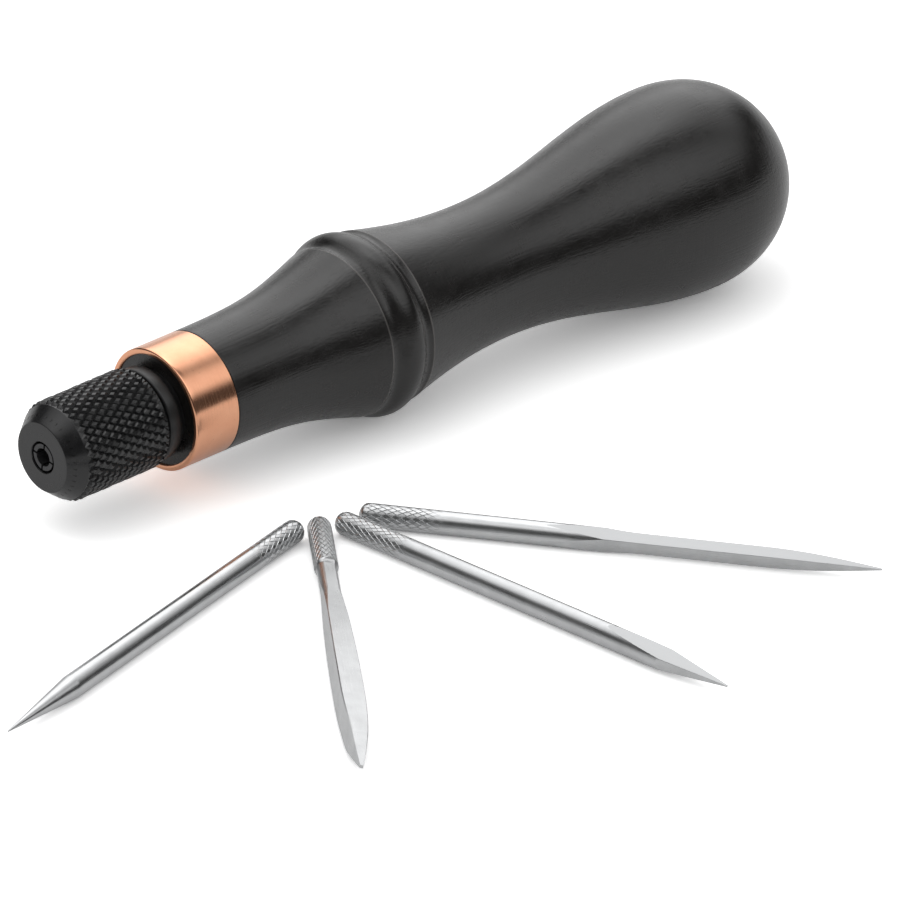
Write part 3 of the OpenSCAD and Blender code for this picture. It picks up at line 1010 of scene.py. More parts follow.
@dataclass
class Chuck:
    """The chuck: its threaded body, its knurled nut and the collet.

    Attributes:
        buried_r: Radius in the nut's wall to which diamonds past its rear end shrink.
        thread_flank: Steepness of the thread's sides.
        thread_crest: How far its crests and roots are flattened.
    """

    place: Matrix
    nut_len: float = 19.2
    nut_r: float = 8.2
    nut_bevel: float = 0.4
    nut_spacing: float = 0.7
    root_bevel: float = 0.15
    buried_r: float = 7.0
    nose_r: float = 5.8
    nose_round: float = 0.2
    nose_round_end: float = -36.0
    nose_cone: float = 3.3
    nose_hole_r: float = 2.55
    nose_hole_len: float = 1.2
    nose_hole_bevel: float = 0.12
    closing_len: float = 6.6
    closing_r: float = 4.95
    bore_bevel: float = 0.3
    spigot_r: float = 6.0
    spigot_front: float = 8.6
    spigot_bevel: float = 0.4
    thread_pitch: float = 1.0
    thread_depth: float = 0.45
    thread_flank: float = 2.4
    thread_crest: float = 0.7
    thread_steps: int = 10
    run_gap: float = 0.05
    nut_gap: float = 0.4
    collar_r: float = 7.6
    collar_len: float = 2.5
    collar_round: float = 0.5
    neck_r: float = 6.6
    neck_len: float = 1.1
    tang_r: float = 5.0
    tang_len: float = 31.0
    tang_bevel: float = 0.5
    collet_bore_r: float = 4.2
    collet_seat: float = 17.45
    shank_hole_r: float = 2.2
    shank_hole_end: float = 46.0
    segments: int = 144
    knurl: Knurl = Knurl(around=36, diamond_len=2.47, start=2.2, end=19.6, root_r=7.72,
                         crest_r=8.2, top_share=0.42)
    collet_nodes: tuple[str, ...] = (
        "collet_ring", "collet_jaw_1", "collet_jaw_2", "collet_jaw_3", "collet_jaw_4")

    def build(self) -> list[Piece]:
        """Builds the body and the nut, and takes the collet's own solids.

        Returns:
            The body, the nut and the collet's pieces.
        """
        turned_body = turned_shell(self.body_outline(), self.segments, self.thread)
        body = make_piece("threaded_chuck_body", turned_body, self.place)
        core = turned_shell(self.nut_outline(), self.segments)
        diamonds = self.knurl.shell(self.nut_surface, KnurlEnd.CUT, OXIDE)
        nut = make_piece("knurled_chuck_nut", core.joined(diamonds), self.place)
        collet = [frame["nodes"][name] for name in self.collet_nodes]
        self.dress(body, nut, collet)
        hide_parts("chuck_body")
        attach(body, "handle")
        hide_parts("chuck_nut")
        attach(nut, "nut")
        return [body, nut] + collet

    def dress(self, body: Piece, nut: Piece, collet: list[Piece]) -> None:
        """Gives the pieces their finishes.

        Args:
            body: The chuck's body.
            nut: Its nut.
            collet: The collet's ring and jaws.
        """
        # The body takes the darker copy of the oxide: painted shade for the recess behind the nut.
        SHADED_OXIDE.dress(body)
        OXIDE.dress(nut)
        for piece in collet:
            COLLET.dress(piece)

    def nut_surface(self, stations: np.ndarray) -> np.ndarray:
        """Finds the radius that the nut's nose cone and rear bevel leave.

        Args:
            stations: Places along the nut.

        Returns:
            The radius at each place.
        """
        ends = [0.0, self.nose_cone, self.nut_len - self.nut_bevel, self.nut_len]
        radii = [self.nose_r, self.nut_r, self.nut_r, self.nut_r - self.nut_bevel]
        return np.where(stations > self.nut_len, self.buried_r, np.interp(stations, ends, radii))

    def nut_outline(self) -> Outline:
        """Draws the nut under its knurl.

        Returns:
            Its outline, a loop.
        """
        root, rear = self.knurl.root_r, self.nut_len
        slope = (self.nut_r - self.nose_r) / self.nose_cone
        cone_end = (root - self.nose_r) / slope
        step_at = self.nose_hole_len + self.closing_len
        bore = self.spigot_r + self.run_gap
        bend = self.nose_round
        loop = [(self.nose_hole_r, self.nose_hole_bevel),
                (self.nose_hole_r + self.nose_hole_bevel, 0.0)]
        loop += arc(self.nose_r - bend, bend, bend, -90, self.nose_round_end)
        loop += [(root, cone_end), (root, rear - self.root_bevel), (root - self.root_bevel, rear),
                 (bore + self.bore_bevel, rear), (bore, rear - self.bore_bevel), (bore, step_at),
                 (self.closing_r, step_at), (self.nose_hole_r, self.nose_hole_len)]
        return spread(loop + loop[:1], self.nut_spacing)[:-1]

    def body_outline(self) -> Outline:
        """Draws the chuck's body.

        Returns:
            Its outline, from the tang's end to the end of the blade's hole.
        """
        collar = self.nut_len + self.nut_gap
        collar_end = collar + self.collar_len
        wood = collar_end + self.neck_len
        tang_end = wood + self.tang_len
        bend, bevel = self.collar_round, self.tang_bevel
        outside = [(0.0, tang_end), (self.tang_r - bevel, tang_end),
                   (self.tang_r, tang_end - bevel), (self.tang_r, wood),
                   (self.neck_r, wood), (self.neck_r, collar_end)]
        outside += arc(self.collar_r - bend, collar_end - bend, bend, 90, 0)
        outside += arc(self.collar_r - bend, collar + bend, bend, 0, -90)
        thread = spread([(self.spigot_r, collar), (self.spigot_r, self.spigot_front)],
                        self.thread_pitch / self.thread_steps)
        inside = [(self.spigot_r - self.spigot_bevel, self.spigot_front),
                  (self.collet_bore_r, self.spigot_front),
                  (self.collet_bore_r, self.collet_seat), (self.shank_hole_r, self.collet_seat),
                  (self.shank_hole_r, self.shank_hole_end), (0.0, self.shank_hole_end)]
        return outside + thread + inside

    def thread(self, angles: np.ndarray, station: float, radii: np.ndarray) -> np.ndarray:
        """Cuts the right-hand thread into the spigot.

        Args:
            angles: Angle of each point around, in radians.
            station: Place along the chuck.
            radii: Radius of each point before the cut.

        Returns:
            The radius of each point past the cut.
        """
        if radii[0] != self.spigot_r:
            return radii
        from_collar = self.nut_len + self.nut_gap - station
        run_out = min(1.0, max(0.0, from_collar / self.thread_pitch))
        turns = (station / self.thread_pitch - angles / TAU) % 1.0
        slope = self.thread_flank * np.abs(2 * turns - 1) - self.thread_crest
        return radii - self.thread_depth * run_out * np.clip(slope, 0.0, 1.0)


# ---------------------------------------------------------------- the blades


@dataclass
class Blade:
    """A loose blade: a shank with a domed, knurled end and a shaped point.

    Attributes:
        node: Name of the blade's solid and body.
        nose: Place of the tool's nose.
        reach: Place of the domed end, from the nose, along X and Y.
        yaw: Direction of the point about Z, in degrees.
        length: Whole length.
        knurl_end: Station at which the knurl has faded out.
        roll: Turn about the blade's own length, in degrees.
        pitch: Rise of the point, in degrees.
        dome_round: How far the dome's edge is eased.
        dome_blend: Reach of that ease, as a share of it.
        dome_ease: Depth of that ease, as a share of it.
        open_share: Half size in shank radii where the shank has no flats.
        corner_share: Share of a corner's reach that a hair of rubbing leaves.
        corner_least: Least angle in degrees of a flat's half.
        matte_flats: Whether the flats across the thickness are matte.
    """

    node: str
    nose: Vector
    reach: tuple[float, float]
    yaw: float
    length: float
    knurl_end: float
    roll: float = 0.0
    pitch: float = 0.0
    knurl_start: float = 0.55
    knurl_around: int = 16
    diamond_len: float = 1.6
    top_share: float = 0.8
    groove: float = 0.08
    groove_start: float = 0.12
    fade: float = 4.0
    shank_r: float = 1.9
    dome: float = 1.0
    dome_round: float = 0.5
    dome_blend: float = 1.6
    dome_ease: float = 0.22
    dome_steps: int = 12
    edge_step: float = 0.08
    tip_r: float = 0.12
    open_share: float = 4.0
    corner_share: float = 0.985
    corner_least: float = 3.0
    corner_steps: int = 7
    curve_steps: int = 60
    spacing: float = 0.4
    sharp: float = 18.0
    finish: Finish = STEEL
    matte_flats: bool = False

    def build(self) -> list[Piece]:
        """Builds the blade and ties it to its solid.

        Returns:
            The blade, as a list of one.
        """
        knurl = Knurl(
            around=self.knurl_around, diamond_len=self.diamond_len, start=self.knurl_start,
            end=self.knurl_end, root_r=self.shank_r - self.groove, crest_r=self.shank_r,
            top_share=self.top_share)
        diamonds = knurl.shell(self.dome_radius, KnurlEnd.DRAPED, self.finish)
        shell = self.core().joined(diamonds)
        piece = make_piece(f"ground_{self.node}", shell, self.placed(), self.sharp)
        self.dress(piece, shell)
        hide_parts(self.node)
        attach(piece, self.node)
        return [piece]

    def dress(self, piece: Piece, shell: Shell) -> None:
        """Gives the blade its finish and marks its ground flats.

        Args:
            piece: The blade.
            shell: Its surface, in its own frame.
        """
        ground = piece.data.attributes.new(GROUND_FLAT, "FLOAT", "FACE")
        ground.data.foreach_set("value", self.ground_faces(shell))
        self.finish.dress(piece)

    def ground_faces(self, shell: Shell) -> np.ndarray:
        """Finds the faces on the flats across the thickness.

        Args:
            shell: The blade's surface, in its own frame.

        Returns:
            1 for each such face, if the flats are matte, and 0 for each other face.
        """
        half_t, _ = self.half_sizes(shell.points[:, 2])
        off_flat = np.abs(np.abs(shell.points[:, 0]) - half_t)
        on_flat = self.matte_flats & (off_flat < FLAT_TOLERANCE)
        return np.array([on_flat[face].all() for face in shell.faces], dtype=np.float32)

    def placed(self) -> Matrix:
        """Finds the blade's place on the floor.

        Returns:
            The place, in millimetres.
        """
        rise = math.radians(self.pitch)
        end = Vector((self.nose.x + self.reach[0], self.nose.y + self.reach[1],
                      self.shank_r * math.cos(rise) - self.dome * math.sin(rise)))
        return (Matrix.Translation(end) @ Matrix.Rotation(math.radians(self.yaw), 4, "Z")
                @ Matrix.Rotation(math.radians(90) - rise, 4, "Y")
                @ Matrix.Rotation(math.radians(self.roll), 4, "Z"))

    def dome_radius(self, stations: np.ndarray) -> np.ndarray:
        """Finds the radius of the domed end and the plain shank.

        Args:
            stations: Places along the blade.

        Returns:
            The radius at each place.
        """
        bend = (self.shank_r**2 + self.dome**2) / (2 * self.dome)
        inner = np.clip(stations, 0.0, self.dome)
        dome = np.sqrt(np.maximum(bend**2 - (bend - inner) ** 2, 0.0))
        off_edge = np.abs(stations - self.dome) / (self.dome_blend * self.dome_round)
        soft = self.dome_round * np.clip(1 - off_edge, 0, 1) ** 2
        return np.minimum(dome, self.shank_r) - self.dome_ease * soft

    def round_limit(self, stations: np.ndarray) -> np.ndarray:
        """Finds the round radius under the knurl and past it.

        Args:
            stations: Places along the blade.

        Returns:
            The radius at each place.
        """
        ends = [0.0, self.groove_start, self.knurl_end - self.fade, self.knurl_end]
        depth = np.interp(stations, ends, [0.0, self.groove, self.groove, 0.0])
        return np.maximum(self.dome_radius(stations) - depth, 0.0)

    def half_sizes(self, stations: np.ndarray) -> tuple[np.ndarray, np.ndarray]:
        """Returns the half thickness and half width between the flats at each station."""
        wide = np.full_like(stations, self.open_share * self.shank_r)
        return wide, wide

    def marks(self) -> list[float]:
        """Returns the stations at which an edge of the blade's form lies."""
        return []

    def core(self) -> Shell:
        """Builds the blade without its knurl, ring by ring.

        Returns:
            Its surface, in its own frame.
        """
        even = np.linspace(0.0, self.length, math.ceil(self.length / self.spacing))
        dome = self.dome * np.linspace(0, 1, self.dome_steps) ** 2
        edge = dome[-1] + self.edge_step * np.arange(self.dome_steps)
        every = np.concatenate([even, dome, edge, self.marks()])
        stations = np.unique(np.round(every, STATION_DIGITS))
        radii = self.round_limit(stations)
        thick, wide = self.half_sizes(stations)
        rings = [np.array([[0.0, 0.0, 0.0]])]
        for radius, half_t, half_w, station in zip(radii[1:], thick[1:], wide[1:], stations[1:]):
            rings.append(self.section(radius, half_t, half_w, station))
        rings.append(np.array([[0.0, 0.0, self.length]]))
        return ring_shell(rings)

    def section(self, radius: float, half_t: float, half_w: float, station: float) -> np.ndarray:
        """Draws one section: a round bar with flats, its corners rubbed by a hair.

        Args:
            radius: Radius of the round.
            half_t: Half thickness, along local X.
            half_w: Half width, along local Y.
            station: Place along the blade.

        Returns:
            Its points, in order around.
        """
        radius = min(radius, self.corner_share * math.hypot(half_t, half_w))
        least = math.radians(self.corner_least)
        first = max(math.acos(min(1.0, half_t / radius)), least)
        last = min(math.asin(min(1.0, half_w / radius)), math.pi / 2 - least)
        if last < first:
            first = last = (first + last) / 2
        count = self.corner_steps
        quarter = np.concatenate([np.linspace(0, first, count, endpoint=False),
                                  np.linspace(first, last, count, endpoint=False),
                                  np.linspace(last, math.pi / 2, count, endpoint=False)])
        inner = quarter[1:]
        angles = np.concatenate([quarter, [math.pi / 2], math.pi - inner[::-1],
                                 math.pi + quarter, [1.5 * math.pi], TAU - inner[::-1]])
        with np.errstate(divide="ignore"):
            flats = np.minimum(half_t / np.abs(np.cos(angles)), half_w / np.abs(np.sin(angles)))
        radii = np.minimum(radius, flats)
        return np.column_stack([
            radii * np.cos(angles), radii * np.sin(angles), np.full(len(angles), station)])


def along(curve: Outline, stations: np.ndarray) -> np.ndarray:
    """Returns the half sizes of an outline at each station."""
    sizes, places = zip(*curve)
    return np.interp(stations, places, sizes)


@dataclass
class RoundAwl(Blade):
    """The round blade with a conical point."""

    point: float = 17.0
    finish: Finish = POLISHED

    def round_limit(self, stations: np.ndarray) -> np.ndarray:
        """Returns the round radius at each station, which runs out to the point."""
        cone = [(self.shank_r, self.length - self.point), (self.tip_r, self.length)]
        return np.minimum(super().round_limit(stations), along(cone, stations))

    def marks(self) -> list[float]:
        """Returns the station at which the point starts."""
        return [self.length - self.point]


@dataclass
class LeafBlade(Blade):
    """The leaf-shaped blade: a flat neck that swells to a square leaf with a bevelled tip.

    A field that ends in _leads gives the shares of a curve's run at which its two leads stand.
    """

    barrel: float = 15.6
    ramp: float = 0.6
    ramp_gap: float = 0.01
    ramp_ease: float = 0.15
    ramp_leads: Span = (0.35, 0.6)
    ramp_steps: int = 8
    neck_r: float = 1.6
    neck_half: float = 1.35
    leaf_start: float = 25.0
    leaf_leads: Span = (0.2, 0.62)
    widest: float = 60.0
    leaf_half: float = 1.9
    bevel: float = 8.3
    side_share: float = 0.93
    taper_leads: Span = (0.36, 0.22)
    tip_share: float = 0.6
    tip_r: float = 0.26
    corner_share: float = 0.965

    def __post_init__(self) -> None:
        """Sets the pitch at which the blade rests on its round end and on one edge."""
        turn = math.radians(abs(self.roll))
        drop = self.leaf_half * (math.cos(turn) + math.sin(turn)) - self.shank_r
        self.pitch = math.degrees(math.asin(drop / (self.widest - self.dome)))

    def round_limit(self, stations: np.ndarray) -> np.ndarray:
        """Finds the round radius of the barrel, of the neck and past the leaf's corners.

        Args:
            stations: Places along the blade.

        Returns:
            The radius at each place.
        """
        ends = [self.barrel, self.barrel + self.ramp, self.leaf_start, self.widest]
        radii = [self.shank_r, self.neck_r, self.neck_r, 2 * self.leaf_half]
        barrel = super().round_limit(stations)
        return np.where(stations <= self.barrel, barrel, np.interp(stations, ends, radii))

    def flare(self, neck: float) -> Outline:
        """Draws the swell of the leaf.

        Args:
            neck: Half size of the neck that it starts from.

        Returns:
            Half sizes and their stations.
        """
        lead, trail = (share * (self.widest - self.leaf_start) for share in self.leaf_leads)
        return bezier([
            (neck, self.leaf_start), (neck, self.leaf_start + lead),
            (self.leaf_half, self.widest - trail), (self.leaf_half, self.widest)],
            self.curve_steps)

    def half_sizes(self, stations: np.ndarray) -> tuple[np.ndarray, np.ndarray]:
        """Finds the half sizes of the neck and the leaf.

        Args:
            stations: Places along the blade.

        Returns:
            The half thickness and the half width at each place.
        """
        start = self.barrel + self.ramp_gap
        open_end = [(self.open_share * self.shank_r, 0.0),
                    (self.open_share * self.shank_r, self.barrel)]
        lead, trail = (share * self.ramp for share in self.ramp_leads)
        down = bezier([
            (self.shank_r, start), (self.neck_half + self.ramp_ease, self.barrel + lead),
            (self.neck_half, self.barrel + trail), (self.neck_half, self.barrel + self.ramp)],
            self.ramp_steps)
        thick = open_end + down + self.flare(self.neck_half)
        thick += [(self.leaf_half, self.length - self.bevel), (self.tip_r, self.length)]
        lead, trail = (share * (self.length - self.widest) for share in self.taper_leads)
        taper = bezier([
            (self.leaf_half, self.widest), (self.leaf_half, self.widest + lead),
            (self.tip_share * self.leaf_half, self.length - trail), (self.tip_r, self.length)],
            self.curve_steps)
        wide = open_end + [(self.neck_r, start), (self.neck_r, self.leaf_start - 2 * self.neck_r)]
        wide += self.flare(self.side_share * self.neck_r) + taper[1:]
        return along(thick, stations), along(wide, stations)

    def marks(self) -> list[float]:
        """Returns the stations of the barrel's end, its ramp, the leaf's start and the bevel."""
        ramp = self.barrel + self.ramp_gap + np.linspace(0.0, self.ramp, self.ramp_steps + 1)
        return [self.barrel, *ramp, self.leaf_start, self.length - self.bevel]


@dataclass
class SpearBlade(Blade):
    """The round blade ground to a flat wedge with two bevels that start in a small hollow.

    Attributes:
        scoop: Depth of that hollow.
        scoop_len: Its length.
        knee_at: Share of its length at which its slope eases.
        knee_depth: Share of its depth there.
    """

    flat: float = 24.3
    bevel: float = 13.2
    scoop: float = 0.32
    scoop_len: float = 1.2
    knee_at: float = 1 / 3
    knee_depth: float = 2 / 3
    matte_flats: bool = True

    def half_sizes(self, stations: np.ndarray) -> tuple[np.ndarray, np.ndarray]:
        """Finds the half thickness of the wedge and the half width of the bevels.

        Args:
            stations: Places along the blade.

        Returns:
            The half thickness and the half width at each place.
        """
        round_r = self.shank_r
        bevel_at = self.length - self.bevel
        thick = [(round_r, 0.0), (round_r, self.length - self.flat), (self.tip_r, self.length)]
        knee = (round_r - self.knee_depth * self.scoop, bevel_at + self.knee_at * self.scoop_len)
        wide = [(round_r, 0.0), (round_r, bevel_at), knee,
                (round_r - self.scoop, bevel_at + self.scoop_len), (self.tip_r, self.length)]
        return along(thick, stations), along(wide, stations)

    def marks(self) -> list[float]:
        """Returns the stations at which the wedge, the bevels and their hollow's parts start."""
        hollow = [share * self.scoop_len - self.bevel for share in (0, self.knee_at, 1)]
        return [self.length + place for place in (-self.flat, *hollow)]


@dataclass
class SquareBlade(Blade):
    """The round blade forged to a square with a curved point.

    A field that ends in _leads gives the shares of a curve's run at which its two leads stand.
    """

    square_half: float = 1.15
    square_start: float = 29.0
    run: float = 16.0
    run_leads: Span = (0.4, 0.45)
    point: float = 18.8
    point_leads: Span = (0.42, 0.27)
    tip_share: float = 0.48
    matte_flats: bool = True

    def half_sizes(self, stations: np.ndarray) -> tuple[np.ndarray, np.ndarray]:
        """Finds the half sizes of the square.

        Args:
            stations: Places along the blade.

        Returns:
            The half thickness and the half width at each place, which are the same.
        """
        run_end = self.square_start + self.run
        point_at = self.length - self.point
        lead, trail = (share * self.run for share in self.run_leads)
        sides = [(self.shank_r, 0.0)]
        sides += bezier([
            (self.shank_r, self.square_start), (self.shank_r, self.square_start + lead),
            (self.square_half, run_end - trail), (self.square_half, run_end)], self.curve_steps)
        lead, trail = (share * self.point for share in self.point_leads)
        sides += bezier([
            (self.square_half, point_at), (self.square_half, point_at + lead),
            (self.tip_share * self.square_half, self.length - trail),
            (self.tip_r, self.length)], self.curve_steps)
        half = along(sides, stations)
        return half, half

    def marks(self) -> list[float]:
        """Returns the station at which the point starts."""
        return [self.length - self.point]


# ---------------------------------------------------------------- the studio


def stage_piece(name: str, points: Sequence[Sequence[float]], faces: list[list[int]],
                shader: Callable[[Tree], Socket]) -> Piece:
    """Makes a piece of the stage.

    Args:
        name: The piece's name.
        points: Its points, in metres.
        faces: Its faces.
        shader: Builds its nodes and returns its shader.

    Returns:
        The piece.
    """
    mesh = bpy.data.meshes.new(name)
    mesh.from_pydata([tuple(point) for point in points], [], faces)
    piece = bpy.data.objects.new(name, mesh)
    bpy.context.scene.collection.objects.link(piece)
    material = bpy.data.materials.new(name)
    material.use_nodes = True
    tree = material.node_tree
    tree.nodes.clear()
    add_node(tree, "ShaderNodeOutputMaterial", inputs={0: shader(tree)})
    mesh.materials.append(material)
    return piece


def step_up(value: np.ndarray, start: Any, full: Any) -> np.ndarray:
    """Returns 0 before a start and 1 past a full value, with a soft step between."""
    share = np.clip((value - start) / (np.asarray(full) - start), 0, 1)
    return share * share * (3 - 2 * share)


@dataclass
class LightTent:
    """The soft boxes, the slit between them and the dark room below, as shiny surfaces show them.

    Attributes:
        rise: Lowest elevation of the tent, and its highest, in degrees.
        edge: Where the boxes start above the floor, all round: azimuth, elevation at which their
            light starts, elevation at which it is full, and its strength.
        overhead: Strength that is added overhead.
        overhead_rise: Elevations at which it starts and is full.
        overhead_side: Places along Y, from -1 to 1, at which it starts and is full.
        slit: Normal of the plane of the dark slit between the boxes.
        slit_width: Half width of the slit, in degrees.
        slit_depth: Share of the light that is missing in the slit.
        slit_side: Places along X at which the slit starts and is full.
        slit_fade: Share of its depth that is lost towards the right.
        slit_fade_side: Places along X at which that loss starts and is full.
        sweep: Strength of the white sweep behind the object, just above the floor.
        sweep_rise: Elevations at which it starts to fade and has gone.
        sweep_side: Places along Y at which it starts and is full.
        dark: Strength of the dark room.
    """

    radius_m: float = 2.5
    columns: int = 96
    rows: int = 46
    rise: Span = (-2.0, 89.9)
    edge: tuple[tuple[float, float, float, float], ...] = (
        (-180, 40, 56, 1.2), (-130, 43, 53, 1.1), (-105, 30, 42, 1.5), (-80, 22, 33, 1.5),
        (-45, 17, 33, 1.1), (-20, 19, 38, 0.95), (-5, 22, 42, 1.0), (12, 22, 41, 1.2),
        (30, -6, 31, 1.9), (45, -8, 27, 2.1), (68, 10, 31, 1.7), (93, 30, 44, 1.3),
        (126, 34, 50, 1.1), (157, 38, 54, 1.4))
    overhead: float = 0.9
    overhead_rise: Span = (48.0, 72.0)
    overhead_side: Span = (-0.3, 0.1)
    slit: tuple[float, float, float] = (0.287, 0.956, 0.067)
    slit_width: float = 8.0
    slit_depth: float = 0.95
    slit_side: Span = (-0.45, -0.15)
    slit_fade: float = 0.65
    slit_fade_side: Span = (0.46, 0.6)
    sweep: float = 0.8
    sweep_rise: Span = (5.0, 13.0)
    sweep_side: Span = (-0.45, 0.0)
    dark: float = 0.06

    def build(self) -> None:
        """Builds the tent, which only shows in reflections."""
        points, faces = [], []
        for elevation in np.radians(np.linspace(*self.rise, self.rows)):
            for column in range(self.columns):
                turn = TAU * column / self.columns
                points.append((math.cos(turn) * math.cos(elevation),
                               math.sin(turn) * math.cos(elevation), math.sin(elevation)))
        for row in range(self.rows - 1):
            for column in range(self.columns):
                after = (column + 1) % self.columns
                faces.append([row * self.columns + column, row * self.columns + after,
                              (row + 1) * self.columns + after, (row + 1) * self.columns + column])
        away = np.array(points)
        tent = stage_piece("light_tent", away * self.radius_m, faces, self.shader)
        glow = tent.data.attributes.new("glow", "FLOAT", "POINT")
        glow.data.foreach_set("value", self.glow(away).astype(np.float32))
        tent.visible_camera = tent.visible_diffuse = False
        tent.visible_shadow = tent.visible_transmission = False

    def glow(self, away: np.ndarray) -> np.ndarray:
        """Finds the strength of the tent.

        Args:
            away: Directions from its middle, one row of three values each.

        Returns:
            The strength in each direction.
        """
        x, y, z = away.T
        azimuth = np.degrees(np.arctan2(y, x))
        elevation = np.degrees(np.arcsin(np.clip(z, -1, 1)))
        places, *columns = zip(*self.edge)
        start, full, strength = (
            np.interp(azimuth, places, column, period=360) for column in columns)
        light = self.dark + (strength - self.dark) * step_up(elevation, start, full)
        light += (self.overhead * step_up(elevation, *self.overhead_rise)
                  * step_up(y, *self.overhead_side))
        across = np.degrees(np.arcsin(np.clip(away @ np.array(self.slit), -1, 1)))
        fade = 1 - self.slit_fade * step_up(x, *self.slit_fade_side)
        depth = self.slit_depth * step_up(x, *self.slit_side) * fade
        light *= 1 - depth * np.exp(-(across / self.slit_width) ** 2)
        low = 1 - step_up(elevation, *self.sweep_rise)
        return np.maximum(light, self.sweep * low * step_up(y, *self.sweep_side))

    def shader(self, tree: Tree) -> Socket:
        """Builds the tent's nodes and returns its shader."""
        glow = add_node(tree, "ShaderNodeAttribute", {"attribute_name": "glow"}).outputs["Fac"]
        return add_node(tree, "ShaderNodeEmission", inputs={"Strength": glow}).outputs[0]


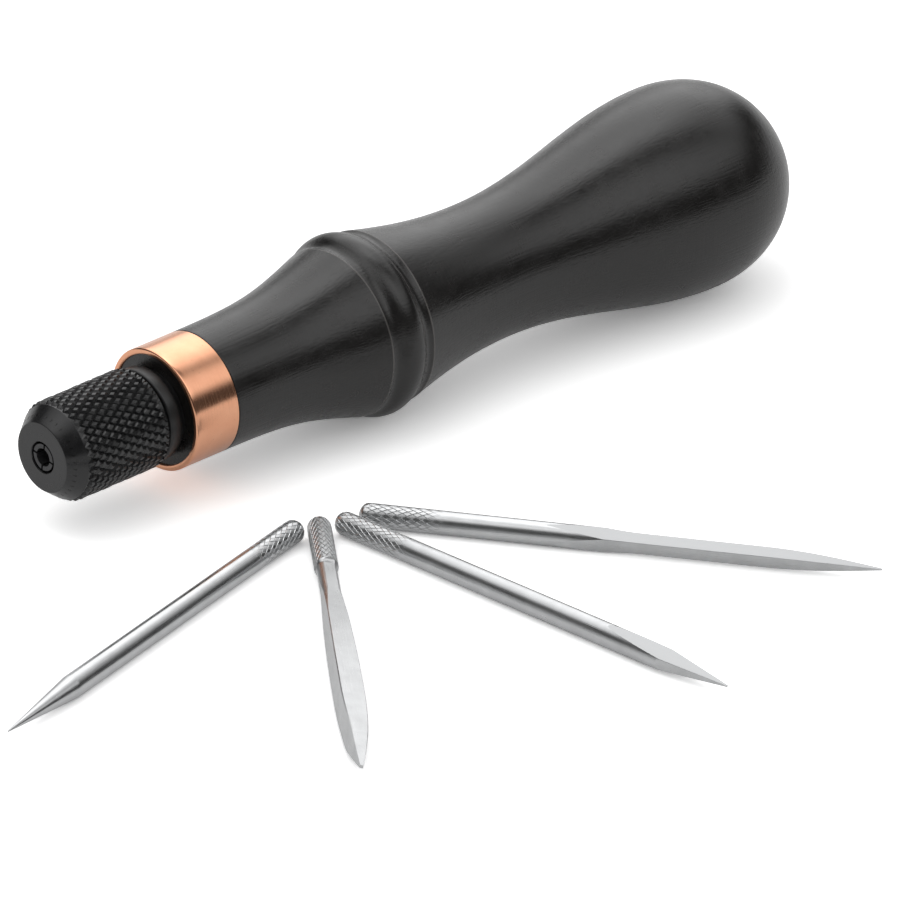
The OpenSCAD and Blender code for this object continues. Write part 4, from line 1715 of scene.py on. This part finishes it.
@dataclass
class Studio:
    """A white floor, a soft light from above and the camera.

    Attributes:
        target: The place that the camera looks at.
        heading: Direction in which it looks, from Y towards X, in degrees.
        elevation: Its height above the floor, in degrees.
        ambient: Strength of the even light on the object.
        floor_gain: Brightness of the floor's own white to the eye.
        floor_lift: Light that is added to the floor for the eye.
        floor_lift_in_metal: Light that is added to the floor in reflections.
    """

    target: Vector = field(default_factory=lambda: Vector((4.199, 14.953, 7.69)))
    heading: float = 42.71
    elevation: float = 25.77
    distance: float = 2000.0
    lens: float = 520.0
    sensor: float = 36.0
    clip_m: float = 20.0
    ambient: float = 0.82
    floor_m: float = 8.0
    floor_colour: str = "#eeeeee"
    floor_gain: float = 1.5
    floor_lift: float = 0.14
    floor_lift_in_metal: float = 0.08
    lamp_watts: float = 3.0
    lamp_size_m: float = 1.2
    lamp_from_m: tuple[float, float, float] = (-0.25, 0.35, 1.4)

    def build(self) -> None:
        """Builds the camera, the light and the floor."""
        bpy.context.scene.view_settings.view_transform = "Standard"
        self.camera()
        self.world()
        self.floor()
        self.lamp()

    def camera(self) -> None:
        """Sets the camera at the photograph's angle."""
        turn, rise = math.radians(self.heading), math.radians(self.elevation)
        forward = Vector((math.sin(turn) * math.cos(rise), math.cos(turn) * math.cos(rise),
                          -math.sin(rise)))
        right = Vector((math.cos(turn), -math.sin(turn), 0.0))
        up = right.cross(forward)
        data = bpy.data.cameras.new("camera")
        data.sensor_width = self.sensor
        data.lens = self.lens
        data.clip_end = self.clip_m
        camera = bpy.data.objects.new("camera", data)
        place = Matrix((right, up, -forward)).transposed().to_4x4()
        place.translation = (self.target - self.distance * forward) * MM
        camera.matrix_world = place
        bpy.context.scene.collection.objects.link(camera)
        bpy.context.scene.camera = camera

    def seen_by_eye(self, tree: Tree) -> Socket:
        """Builds the test that tells what is seen from what lights a surface.

        Args:
            tree: The tree that it is for.

        Returns:
            1 for what the camera, metal and glass see, and 0 for what lights a surface.
        """
        path = add_node(tree, "ShaderNodeLightPath").outputs
        first = add_node(tree, "ShaderNodeMath", {"operation": "MAXIMUM"}, {
            0: path["Is Camera Ray"], 1: path["Is Glossy Ray"]})
        return add_node(tree, "ShaderNodeMath", {"operation": "MAXIMUM"}, {
            0: first.outputs[0], 1: path["Is Transmission Ray"]}).outputs[0]

    def world(self) -> None:
        """Makes the surroundings white to the eye, and a plain even light on the object."""
        world = bpy.data.worlds.new("white_studio")
        world.use_nodes = True
        tree = world.node_tree
        tree.nodes.clear()
        strength = add_node(tree, "ShaderNodeMath", {"operation": "MULTIPLY_ADD"}, {
            0: self.seen_by_eye(tree), 1: 1 - self.ambient, 2: self.ambient})
        white = add_node(tree, "ShaderNodeBackground", inputs={
            "Color": (1.0, 1.0, 1.0, 1.0), "Strength": strength.outputs[0]})
        add_node(tree, "ShaderNodeOutputWorld", inputs={0: white.outputs[0]})
        world.cycles.sampling_method = "NONE"
        bpy.context.scene.world = world

    def floor(self) -> None:
        """Lays the white floor, which keeps the object's shadow."""
        half, level = self.floor_m / 2, float(cad_box[0][2])
        corners = [(-half, -half, level), (half, -half, level),
                   (half, half, level), (-half, half, level)]
        stage_piece("floor", corners, [[0, 1, 2, 3]], self.floor_shader)

    def floor_shader(self, tree: Tree) -> Socket:
        """Builds the floor's nodes.

        Args:
            tree: The floor's tree.

        Returns:
            Its shader.
        """
        path = add_node(tree, "ShaderNodeLightPath").outputs
        white = add_node(tree, "ShaderNodeMix", {"data_type": "RGBA"}, {
            "Factor": path["Is Camera Ray"], "A": linear(self.floor_colour),
            "B": (self.floor_gain, self.floor_gain, self.floor_gain, 1.0)})
        paper = add_node(tree, "ShaderNodeBsdfDiffuse", inputs={"Color": white.outputs["Result"]})
        in_metal = add_node(tree, "ShaderNodeMath", {"operation": "MULTIPLY"}, {
            0: path["Is Glossy Ray"], 1: self.floor_lift_in_metal})
        lift = add_node(tree, "ShaderNodeMath", {"operation": "MULTIPLY_ADD"}, {
            0: path["Is Camera Ray"], 1: self.floor_lift, 2: in_metal.outputs[0]})
        glow = add_node(tree, "ShaderNodeEmission", inputs={"Strength": lift.outputs[0]})
        return add_node(tree, "ShaderNodeAddShader", inputs={
            0: paper.outputs[0], 1: glow.outputs[0]}).outputs[0]

    def lamp(self) -> None:
        """Hangs the soft light above and a little behind the object."""
        data = bpy.data.lights.new("soft_lamp", "AREA")
        data.shape = "RECTANGLE"
        data.size = data.size_y = self.lamp_size_m
        data.energy = self.lamp_watts
        light = bpy.data.objects.new("soft_lamp", data)
        away = Vector(self.lamp_from_m)
        light.location = self.target * MM + away
        light.rotation_euler = away.to_track_quat("Z", "Y").to_euler()
        light.visible_glossy = False
        bpy.context.scene.collection.objects.link(light)


def main() -> None:
    """Builds the tool, the blades and the studio, and reports each piece."""
    logging.basicConfig(level=logging.INFO, format="%(name)s: %(message)s")
    place = tool_axis()
    nose = place.translation
    assemblies = [
        Handle(place),
        Chuck(place),
        RoundAwl("round_awl", nose, reach=(27.762, -27.478), yaw=-164.4, length=80.5,
                 knurl_end=13.5),
        LeafBlade("leaf_blade", nose, reach=(31.068, -28.428), yaw=-127.8, length=83.0,
                  knurl_end=15.6, roll=-15.0, fade=1.2),
        SpearBlade("spear_blade", nose, reach=(34.032, -29.758), yaw=-86.6, length=81.1,
                   knurl_end=15.5, roll=7.0),
        SquareBlade("square_blade", nose, reach=(37.908, -30.176), yaw=-56.3, length=81.9,
                    knurl_end=13.5, roll=17.5, knurl_start=1.5),
    ]
    for assembly in assemblies:
        for piece in assembly.build():
            log.info("%s: %d faces", piece.name, len(piece.data.polygons))
    LightTent().build()
    Studio().build()


if __name__ == "__main__":
    main()
